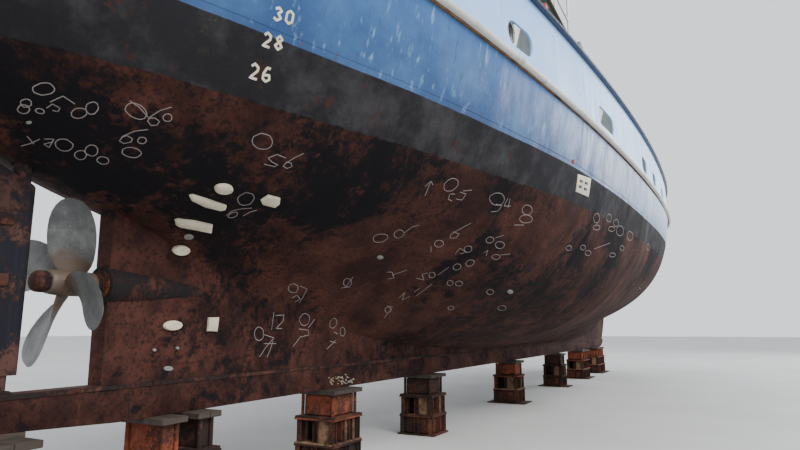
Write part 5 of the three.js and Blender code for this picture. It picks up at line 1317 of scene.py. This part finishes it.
for number, (x, length, foot) in enumerate(BLOCKS, 1):
    jitter = random.Random(39 + number)
    long, wide = length / 2, BLOCK_HALF
    body, upper, plates, tops, dark = Solids(), Solids(), Solids(), Solids(), Solids()
    # lowest tier: framed box
    low, high = FLOOR_Z + 0.022, MIDDLE_Z - 0.022
    span(body, x - long + 0.052, x + long - 0.052, -wide + 0.052, wide - 0.052, low, high)
    for u, v, across in ring_of_places(long, wide, 0.050, 0.23):
        beam(body, x + u, v, low, high, across)
    # middle tier: open uprights round a dark box, painted shade inside the tier, with cover plates in some
    # bays
    low, high = MIDDLE_Z + 0.020, UPPER_Z - 0.020
    shade_half = max(0.03, long - 0.17)
    span(dark, x - shade_half, x + shade_half, -wide + 0.17, wide - 0.17, low, high)
    for u, v, across in ring_of_places(long, wide, 0.062, 0.20):
        beam(body, x + u, v, low, high, across)
    bay = long - 0.08
    span(plates, x - long + 0.09 + bay * 0.9, x + long - 0.10, -wide + 0.058, -wide + 0.072, low, high)
    span(plates, x - long + 0.045, x - long + 0.060, -wide + 0.11, -0.03, low, high)
    span(plates, x - long + 0.10, x - long + 0.09 + bay * 0.8, wide - 0.072, wide - 0.058, low, high)
    # upper tier: primed box with round corner bars
    low, high = UPPER_Z + 0.020, TIER_TOP_Z
    span(upper, x - long + 0.085, x + long - 0.085, -wide + 0.085, wide - 0.085, low, high)
    for a in (-1, 1):
        for b in (-1, 1):
            place = (x + a * (long - 0.075), b * (wide - 0.075))
            pipe(upper, [(*place, low), (*place, high)], 0.021, 12)
    for u, v, across in ring_of_places(long, wide, 0.088, 0.34)[4:]:
        beam(upper, x + u, v, low, high, across)
    # flange plates, from the floor up
    tray(body, x, long, foot, FLOOR_Z + 0.0003, FLOOR_Z + FLANGE, jitter)
    tray(body, x, long, wide, MIDDLE_Z - FLANGE, MIDDLE_Z - 0.001, jitter)
    tray(upper if number % 2 else plates, x, long - 0.004, wide - 0.004, MIDDLE_Z, MIDDLE_Z + 0.022, jitter)
    tray(upper, x, long, wide, UPPER_Z - FLANGE, UPPER_Z - 0.001, jitter)
    tray(body, x, long - 0.004, wide - 0.004, UPPER_Z, UPPER_Z + 0.022, jitter)
    # timber cap: planks laid across the keel
    count = max(2, int(round(length / 0.20)))
    for k in range(count):
        x0, x1 = x - long + length * k / count, x - long + length * (k + 1) / count
        starboard_end, port_end = (wide - jitter.uniform(0.002, 0.020) for _ in range(2))
        span(tops, x0 + 0.002, x1 - 0.002, -starboard_end, port_end, TIMBER_LOW_Z, TIMBER_HIGH_Z)
    if number == 1:     # wedge under the rising sole piece
        wedge = (-0.43, -0.0010), (0.17, -0.0010), (0.17, 0.0352), (-0.43, 0.0648)
        tops.sweep([[ship(wedge_x, y, z) for wedge_x, z in wedge] for y in (-0.079, 0.079)])
    name = f"keel_block_{number}"
    body.object(name + "_frames", "block", replaces=name)
    upper.object(name + "_primed", "primer" if number in PRIMED_BLOCKS else "block")
    plates.object(name + "_plates", "tan")
    dark.object(name + "_core", "dark_seam_and_shade")
    tops.object(name + "_cap", "dark_timber")


# ---------------------------------------------------------------- house, windows and doors
def rounded_frame(solids, centre, right, out, half_w, half_h, band, proud, back=0.0):
    """Window frame: a flat rounded ring on an upright wall."""
    steps, corner = 8, 0.05
    a, b = half_w - corner, half_h - corner
    loops = []
    for grow, lift in ((0.0, back), (0.0, proud * 0.8), (band * 0.15, proud), (band * 0.85, proud),
                       (band, proud * 0.6), (band, back)):
        loop = []
        for cx, cy, start in ((a, b, 0), (-a, b, 90), (-a, -b, 180), (a, -b, 270)):
            for k in range(steps + 1):
                turn = math.radians(start + 90 * k / steps)
                u, v = (corner + grow) * math.cos(turn), (corner + grow) * math.sin(turn)
                loop.append(centre + right * (cx + u) + Z_AXIS * (cy + v) + out * lift)
        loops.append(loop)
    solids.hoop(loops)


BOAT_DECK_Z, BRIDGE_TOP_Z, ROOF_Z = 6.1104, 8.350, 8.4308
WINDOW_HIGH_Z = BOAT_DECK_Z + 1.80
WINDOW_Z, WINDOW_HALF = BOAT_DECK_Z + 1.44, 0.36        # middle of the windows and half their height
# Place on the wall, direction outwards and half width of each opening
WINDOWS = [((8.30, y), (1, 0), 0.26) for y in (-0.64, 0, 0.64)]
WINDOWS += [((x, side * 1.50), (0, side), 0.30) for x in (6.40, 7.15) for side in (-1, 1)]
WINDOWS += [((5.00, y), (-1, 0), 0.30) for y in (-0.70, 0.70)]
WINDOWS += [((8.075, side * 1.20), (0.8, side * 0.6), 0.23) for side in (-1, 1)]
frames_set, glass_set, wipers = Solids(), Solids(), Solids()
for (x, y), (nx, ny), half in WINDOWS:
    out = Vector((nx, ny, 0)).normalized()
    right = Vector((-out.y, out.x, 0))
    centre = ship(x, y, WINDOW_Z)
    axes = right, out, Z_AXIS
    rounded_frame(frames_set, centre + out * 0.0006, right, out, half - 0.012, WINDOW_HALF - 0.012,
                  0.055, 0.016)
    glass_set.block(centre - out * 0.030, (half + 0.008, 0.004, WINDOW_HALF + 0.008), axes)
    for lift, reach, wider, thick in ((-WINDOW_HALF - 0.055, 0.022, 0.05, 0.010),
                                      (WINDOW_HALF + 0.060, 0.030, 0.07, 0.008)):
        frames_set.block(centre + Z_AXIS * lift + out * reach, (half + wider, reach, thick), axes)
for y in (-0.64, 0.64):
    foot = ship(8.322, y + 0.10, WINDOW_HIGH_Z - 0.02)
    wipers.tube([foot, foot + Vector((0.012, -0.20, -0.46))], 0.007, 8)
    wipers.tube([foot + Vector((0.006, -0.12, -0.62)), foot + Vector((0.006, -0.26, -0.28))], 0.009, 8)
    disc(wipers, foot - X_AXIS * 0.02, X_AXIS, 0.028, 0.045, 16)
frames_set.object("window_frames", "house")
glass_set.object("window_glass_panes", "glass")
wipers.object("window_wipers", "black")

PORTHOLE_Z = 5.15
rims, lights, nuts = Solids(), Solids(), Solids()
PORTHOLES = [((x, side * 2.05), (0, side)) for x in (4.70, 5.70, 6.70, 7.70) for side in (-1, 1)]
PORTHOLES += [((8.50, y), (1, 0)) for y in (-1.2, 0, 1.2)]
for (x, y), (nx, ny) in PORTHOLES:
    out, right = Vector((nx, ny, 0)), Vector((-ny, nx, 0))
    centre = ship(x, y, PORTHOLE_Z)
    ring_bar(rims, centre + out * 0.010, out, 0.168, 0.022, 36, 10, 0.75)
    disc(lights, centre - out * 0.040, out, 0.158, 0.010)
    ring_bar(rims, centre + out * 0.012, out, 0.138, 0.012, 36, 8, 0.8)
    eave = centre + Z_AXIS * 0.205
    rims.block(eave + out * 0.026, (0.19, 0.026, 0.006), (right, out, Z_AXIS))
    for k in range(6):
        a = math.tau * k / 6 + 0.3
        place = centre + right * (0.168 * math.cos(a)) + Z_AXIS * (0.168 * math.sin(a))
        disc(nuts, place + out * 0.018, out, 0.012, 0.014, 6)
rims.object("porthole_rims", "bronze")
lights.object("porthole_glass", "glass")
nuts.object("porthole_nuts", "bronze")

# Doors: a raised rim, an eye-level light, clips and a grab handle on each leaf. A door's numbers are
# the direction of its width in degrees and the ship place of its foot at the hinge.
DOOR_WIDTH = 0.70
DOORS = {"house_door_aft": (-90, 0.90, DOOR_WIDTH / 2, deck_height(0.9) + 0.24),
         "bridge_door_starboard": (0, 5.22, -1.5, BOAT_DECK_Z + 0.12),
         "bridge_door_port": (180, 5.22 + DOOR_WIDTH, 1.5, BOAT_DECK_Z + 0.12)}
for body, (turn, x0, y0, z0) in DOORS.items():
    c, s = math.cos(math.radians(turn)), math.sin(math.radians(turn))
    along, out = Vector((c, s, 0)), Vector((s, -c, 0))
    axes = along, out, Z_AXIS
    origin = ship(x0, y0, z0)
    middle = DOOR_WIDTH / 2

    def leaf(u, v, w):
        return origin + along * u + out * v + Z_AXIS * w

    def bar(solids, places, radius, sides):
        solids.tube([leaf(*place) for place in places], radius, sides)

    trim, pane, fittings, step = Solids(), Solids(), Solids(), Solids()
    rounded_frame(trim, leaf(middle, 0.0562, 0.86), along, out, 0.285, 0.800, 0.028, 0.010, -0.002)
    rounded_frame(trim, leaf(middle, 0.0562, 1.27), along, out, 0.125, 0.165, 0.034, 0.014, -0.002)
    pane.block(leaf(middle, 0.0585, 1.27), (0.128, 0.0030, 0.168), axes)
    for w in (0.28, 0.86, 1.44):
        bar(fittings, [(0.625, 0.05, w), (0.625, 0.088, w)], 0.013, 10)
        bar(fittings, [(0.625, 0.083, w), (0.590, 0.087, w - 0.07), (0.575, 0.090, w - 0.13)],
            [0.010, 0.009, 0.007], 8)
    bar(fittings, [(0.10, 0.054, 0.62), (0.10, 0.095, 0.66), (0.10, 0.100, 0.86), (0.10, 0.095, 1.06),
                   (0.10, 0.054, 1.10)], 0.010, 10)
    trim.object(body + "_trim", "buff", body)
    pane.object(body + "_light", "glass", body)
    fittings.object(body + "_clips", "bronze", body)
    rounded_frame(step, leaf(middle, 0.0006, 0.86), along, out, 0.312, 0.822, 0.014, 0.0045)
    rise = z0 - (deck_height(x0) if body == "house_door_aft" else BOAT_DECK_Z)
    step.block(leaf(middle, 0.10, -0.55 * rise), (0.24, 0.095, 0.012), axes)
    for u in (0.14, 0.56):
        step.block(leaf(u, 0.07, -0.75 * rise), (0.010, 0.070, rise * 0.18), axes)
    step.object(body + "_step", "house")

# Strips round the boat deck and the roof, mouldings on the walls and handrails along the sides
HOUSE = [(0.90, 0.95), (1.50, 1.50), (4.20, 2.05), (8.50, 2.05)]
BOAT_DECK = [(0.25, 1.25), (1.30, 1.78), (4.10, 2.42), (8.80, 2.42)]
BRIDGE = [(5.00, 1.50), (7.85, 1.50), (8.30, 0.90)]
ROOF = [(4.85, 1.68), (8.00, 1.68), (8.56, 0.98)]
FUNNEL = [(2.45, 0.26), (2.65, 0.43), (3.50, 0.46), (3.75, 0.25)]


def plan_loop(half, grow=0):
    """Closed plan outline from its port half, moved outwards."""
    loop = [(x, -y) for x, y in half] + list(reversed(half))
    out = []
    for i, (x, y) in enumerate(loop):
        before, after = Vector(loop[i - 1]), Vector(loop[(i + 1) % len(loop)])
        here = Vector((x, y))
        p, q = (here - before).normalized(), (after - here).normalized()
        p, q = Vector((p.y, -p.x)), Vector((q.y, -q.x))
        share = grow / (1 + p.dot(q))
        out.append((x + (p.x + q.x) * share, y + (p.y + q.y) * share))
    return out


def moulding(solids, half, z, radius):
    """Half-round strip that follows a plan outline."""
    loop = [ship(x, y, z) for x, y in plan_loop(half)]
    for ends in zip(loop, loop[1:] + loop[:1]):
        solids.tube(ends, radius, 10)


strips = Solids()
moulding(strips, BOAT_DECK, BOAT_DECK_Z - 0.030, 0.034)
moulding(strips, ROOF, ROOF_Z - 0.040, 0.042)
strips.object("deck_edge_strips", "dark_timber")
mould = Solids()
moulding(mould, HOUSE, 5.93, 0.020)
moulding(mould, BRIDGE, BRIDGE_TOP_Z - 0.10, 0.018)
moulding(mould, BRIDGE, BOAT_DECK_Z + 0.98, 0.014)
moulding(mould, HOUSE, deck_height(6) + 0.42, 0.012)
mould.object("house_mouldings", "house")
grabs = Solids()
for side in (-1, 1):
    for x0, x1 in ((4.5, 6.2), (6.4, 8.2)):
        wall, y = side * 2.045, side * 2.115
        pipe(grabs, [(x, v, 4.86) for x, v in
                     ((x0, wall), (x0, y), ((x0 + x1) / 2, y), (x1, y), (x1, wall))], 0.014, 10)
    wall, y = side * 1.495, side * 1.565
    pipe(grabs, [(x, v, 7.06) for x, v in ((6.0, wall), (6.0, y), (7.55, y), (7.55, wall))], 0.013, 10)
grabs.object("grab_rails", "buff")

# Side lights, searchlight, horn and aerials on the wheelhouse
for side, name in ((1, "red"), (-1, "green")):
    screen, lens = Solids(), Solids()
    wall, y = side * 1.50, side * 1.585
    span(screen, 7.40, 7.80, wall, wall + side * 0.03, 8.02, 8.26)
    span(screen, 7.40, 7.425, wall, wall + side * 0.16, 8.02, 8.26)
    span(screen, 7.40, 7.66, wall, wall + side * 0.16, 8.02, 8.035)
    pipe(lens, [(7.50, y, 8.036), (7.50, y, 8.17)], 0.045, 20)
    pipe(screen, [(7.50, y, 8.17), (7.50, y, 8.20)], [0.052, 0.030], 20)
    screen.object(f"side_light_screen_{name}", "black")
    lens.object(f"side_light_{name}", name)
roof_bits, lamp_glass = Solids(), Solids()
LAMP_Z, HORN_Y, HORN_Z = ROOF_Z + 0.42, 0.62, ROOF_Z + 0.13
pipe(roof_bits, [(7.70, 0, ROOF_Z), (7.70, 0, ROOF_Z + 0.30)], 0.028, 14)
pipe(roof_bits, [(x, 0, LAMP_Z) for x in (7.55, 7.58, 7.66, 7.84)], [0.06, 0.105, 0.135, 0.145], 28)
for side in (-1, 1):
    fork = (0, 0.28), (0.16, 0.32), (0.155, 0.44)
    pipe(roof_bits, [(7.70, side * y, ROOF_Z + z) for y, z in fork], 0.012, 8)
disc(lamp_glass, ship(7.835, 0, LAMP_Z), X_AXIS, 0.135, 0.012)
pipe(roof_bits, [(x, HORN_Y, HORN_Z) for x in (7.95, 8.10, 8.28, 8.33)], [0.026, 0.030, 0.062, 0.085], 20)
pipe(roof_bits, [(8.0, HORN_Y, ROOF_Z), (8.0, HORN_Y, HORN_Z)], 0.018, 10)
roof_bits.object("searchlight_and_horn", "house")
lamp_glass.object("searchlight_glass", "lamp")
aerials = Solids()
for x, y, tall in ((5.15, 1.35, 2.2), (5.15, -1.35, 1.9), (6.0, 1.2, 1.2)):
    pipe(aerials, [(x, y, ROOF_Z), (x, y, ROOF_Z + 0.22)], 0.022, 10)
    pipe(aerials, [(x, y, ROOF_Z + z) for z in (0.2, tall * 0.6, tall)], [0.011, 0.008, 0.004], 8)
aerials.object("aerials", "raft")


# ---------------------------------------------------------------- funnel, rafts, masts and deck gear
band, soot = Solids(), Solids()
band.hoop([[ship(x, y, z) for x, y in plan_loop(FUNNEL, grow)]
           for z, grow in ((7.52, 0.0402), (7.52, 0.0440), (7.72, 0.0440), (7.72, 0.0402))])
band.object("funnel_white_band", "house")
for x, radius, foot_z, top_z in ((2.85, 0.11, 7.90, 8.22), (3.30, 0.07, 7.90, 8.12)):
    pipe(soot, [(x, 0, top_z - 0.13), (x, 0, top_z - 0.02), (x, 0, top_z + 0.004)],
         [radius + 0.003, radius + 0.006, radius + 0.002], 24)
    ring_bar(soot, ship(x, 0, foot_z + 0.012), Z_AXIS, radius + 0.010, 0.014, 28, 8)
soot.object("exhaust_soot", "black")
rungs = Solids()
for k in range(6):
    z = BOAT_DECK_Z + 0.28 * (k + 1)
    pipe(rungs, [(2.56, 0.335, z), (2.44, 0.40, z), (2.40, 0.24, z), (2.50, 0.16, z)], 0.010, 8)
rungs.object("funnel_rungs", "blue")

RAFT_Y, RAFT_Z = 1.62, 6.5508
straps, clasps = Solids(), Solids()
for side in (-1, 1):
    for x in (3.22, 3.78):
        centre = ship(x, side * RAFT_Y, RAFT_Z)
        section = (-0.022, 0.3105), (-0.022, 0.3150), (0.022, 0.3150), (0.022, 0.3105)
        straps.hoop([circle(centre + X_AXIS * dx, Y_AXIS, Z_AXIS, radius, 36) for dx, radius in section])
        slant = math.sqrt(0.5)
        clasps.block(centre + Vector((0, side * 0.222, 0.222)), (0.030, 0.040, 0.012),
                     (X_AXIS, Vector((0, side * slant, -slant)), Vector((0, side * slant, slant))))
    ring_bar(clasps, ship(3.5, side * RAFT_Y, RAFT_Z), X_AXIS, 0.312, 0.010, 36, 8)
straps.object("raft_straps", "dark")
clasps.object("raft_clasps", "raft")

vents = Solids()
for side in (-1, 1):
    for z, radius in ((6.93, 0.212), (6.125, 0.128)):
        ring_bar(vents, ship(4.6, side * 0.9, z), Z_AXIS, radius, 0.012, 32, 8)
vents.object("ventilator_beads", "house")

# Mast bands, rungs, lamps and cleats
MIZZEN_X, MAIN_X = 1.5, 12.3
MAST_BANDS = [(MIZZEN_X, 6.30, 0.104), (MIZZEN_X, 7.86, 0.094), (MIZZEN_X, 9.42, 0.078),
              (MIZZEN_X, 10.50, 0.066), (MAIN_X, 5.20, 0.143), (MAIN_X, 6.62, 0.130),
              (MAIN_X, 9.55, 0.105), (MAIN_X, 11.60, 0.087)]
# Place of each lamp, and ship x of the plate under it for those on a mast's face
MAST_LAMPS = [(12.47, 0, 10.75, 12.43), (12.45, 0, 11.30, 12.41), (1.37, 0, 10.15, 1.185),
              (MAIN_X, 0.78, 10.44, None), (MAIN_X, -0.78, 10.44, None)]
mast_bits, lamps, lamp_tops = Solids(), Solids(), Solids()
for x, z, radius in MAST_BANDS:
    pipe(mast_bits, [(x, 0, z - 0.035), (x, 0, z + 0.035)], radius + 0.006, 28)
for count, low, pitch, x_in, x_out, y, radius in ((10, 6.75, 0.32, 1.40, 1.36, 0.13, 0.010),
                                                  (20, 4.95, 0.33, 12.20, 12.14, 0.17, 0.012)):
    for k in range(count):
        z = low + pitch * k
        pipe(mast_bits, [(x_in, 0, z), (x_out, y if k % 2 else -y, z)], radius, 8)
for x, y, z, plate_x in MAST_LAMPS:
    if plate_x:
        mast_bits.block(ship(plate_x, 0, z - 0.012), (0.12, 0.05, 0.010))
    pipe(lamps, [(x, y, z), (x, y, z + 0.10)], 0.046, 18)
    pipe(lamp_tops, [(x, y, z + 0.10), (x, y, z + 0.125), (x, y, z + 0.145)], [0.054, 0.050, 0.012], 18)
    pipe(lamp_tops, [(x, y, z - 0.02), (x, y, z)], 0.052, 18)
for x, radius, z in ((MAIN_X, 0.15, deck_height(MAIN_X) + 0.95), (MIZZEN_X, 0.105, BOAT_DECK_Z + 0.95)):
    for side in (-1, 1):
        y = side * (radius + 0.035)
        pipe(mast_bits, [(x, side * radius * 0.8, z), (x, y, z)], 0.020, 10)
        pipe(mast_bits, [(x, y, z - 0.11), (x, y, z + 0.11)], 0.013, 10)
mast_bits.object("mast_bands_and_rungs", "buff")
lamps.object("mast_lamps", "lamp")
lamp_tops.object("mast_lamp_caps", "black")

# Wire wound on the trawl drums, with the brake levers on the bed
WINCH_X = 10.0
BED_Z = deck_height(WINCH_X)
WIRE_START, WIRE_STOP, WIRE_TURNS = 0.125, 1.045, 34
wire_profile = []
for k in range(WIRE_TURNS * 4 + 1):
    level = 0.372 + 0.010 * math.sin(k * 0.21) + 0.012 * abs(math.sin(math.pi * k / 4))
    wire_profile.append((WIRE_START + (WIRE_STOP - WIRE_START) * k / (WIRE_TURNS * 4), level))
for side, name in ((1, "port"), (-1, "starboard")):
    wound = Solids()
    lathe(wound, ship(WINCH_X, 0, BED_Z + 0.76), Y_AXIS * side, wire_profile)
    wound.object(f"winch_wire_{name}", "wire", "winch_drum_" + name)
levers = Solids()
for side in (-1, 1):
    for y in (0.28, 0.80):
        foot = ship(9.50, side * y, BED_Z + 0.10)
        levers.tube([foot, foot + Vector((-0.05, 0, 0.50)), foot + Vector((-0.10, 0, 0.86))],
                    [0.016, 0.014, 0.011], 10)
        disc(levers, foot + Vector((-0.10, 0, 0.855)), Z_AXIS, 0.030, 0.040, 16)
levers.object("winch_levers", "dark")
motor = Solids()
for k in range(7):
    motor.block(ship(10.69, -0.48 + 0.16 * k, BED_Z + 0.58), (0.12, 0.012, 0.014))
motor.object("winch_motor_fins", "green")

# Hatch lid battens and lifting rings ride on the lid
battens, lid_rings = Solids(), Solids()
hatch = bpy.data.objects["hatch_lid"]
lid_z = max((hatch.matrix_world @ corner.co).z for corner in hatch.data.vertices) - KEEL_Z
for y in (-0.5, 0.0, 0.5):
    battens.block(ship(14.05, y, lid_z + 0.014), (0.66, 0.030, 0.0142))
for x in (13.62, 14.5):
    for y in (-0.26, 0.26):
        ring_bar(lid_rings, ship(x, y, lid_z + 0.014), Z_AXIS, 0.055, 0.009, 24, 8)
        pipe(lid_rings, [(x + 0.055, y, lid_z), (x + 0.055, y, lid_z + 0.03)], 0.014, 8)
battens.object("hatch_battens", "green", "hatch_lid")
lid_rings.object("hatch_rings", "dark", "hatch_lid")

# Bulwark stays on both sides, where the deck is open
stays = Solids()
for k in range(23):
    x = -1.2 + 1.2 * k
    while any(abs(x - place) < length / 2 + 0.06 for place, length in PORTS):
        x += 0.05
    z, y = deck_height(x), deck_half(x) - 0.035
    lean = TUMBLEHOME * min(1, deck_half(x) / 3) ** 2
    outline = [(y, 0.002), (y - lean, 0.80), (y - lean - 0.06, 0.80), (y - 0.30, 0.03), (y - 0.30, 0.002)]
    for side in (-1, 1):
        stays.sweep([[ship(x + dx, side * v, z + w) for v, w in outline] for dx in (-0.005, 0.005)])
stays.object("bulwark_stays", "house")


# ---------------------------------------------------------------- small things seen in the photo
# Brown strip under the rubbing strake: worn paint, and painted shade under the round of the strake
grime = belt("strake_grime", [(-0.05, -0.136, 0), (0.006, -0.136, 0), (0.014, -0.1215, 0),
                              (-0.05, -0.1215, 0)])
clothe(grime, "tan")

pads("red_patch", "primer", ([ellipse(573, 162, 1.4, 2.5)], 0.003))
pads("bow_plate", "white", ([[(633, 284), (640, 288), (652, 296), (642, 293)]], 0.004))

cap_tree = skin_tree(cap)


def on_cap(px, py):
    """Highest point of the cap rail in the column of a pixel."""
    points = (cap_tree.ray_cast(EYE, sight(px, py + k))[0] for k in range(-80, 30))
    return next(point for point in points if point is not None)


for px, py, look_name, half in ((549, 5, "red", (0.06, 0.030, 0.045)),
                                (583, 58, "zinc", (0.09, 0.035, 0.050))):
    foot = on_cap(px, py) + Y_AXIS * 0.05
    item = Solids()
    item.block(foot + Z_AXIS * half[2], half)
    item.tube([foot + Z_AXIS * (half[2] * 2), foot + Z_AXIS * (half[2] * 2 + 0.02)], 0.02, 12)
    item.object("rail_item_" + look_name, look_name)

# In the long freeing port: a coil of hose and a pale card
coil, card = Solids(), Solids()
y, z = 0.13 - deck_half(6.8), deck_height(6.8) + 0.17
for k in range(4):
    place = ship(6.70 + 0.012 * k, y + 0.035 * k, z + 0.004 * k)
    ring_bar(coil, place, Y_AXIS, 0.115 - 0.008 * k, 0.019, 28, 8)
card.block(ship(7.20, y + 0.01, z), (0.185, 0.008, 0.150))
coil.object("hose_coil", "rubber")
card.object("port_card", "cream")
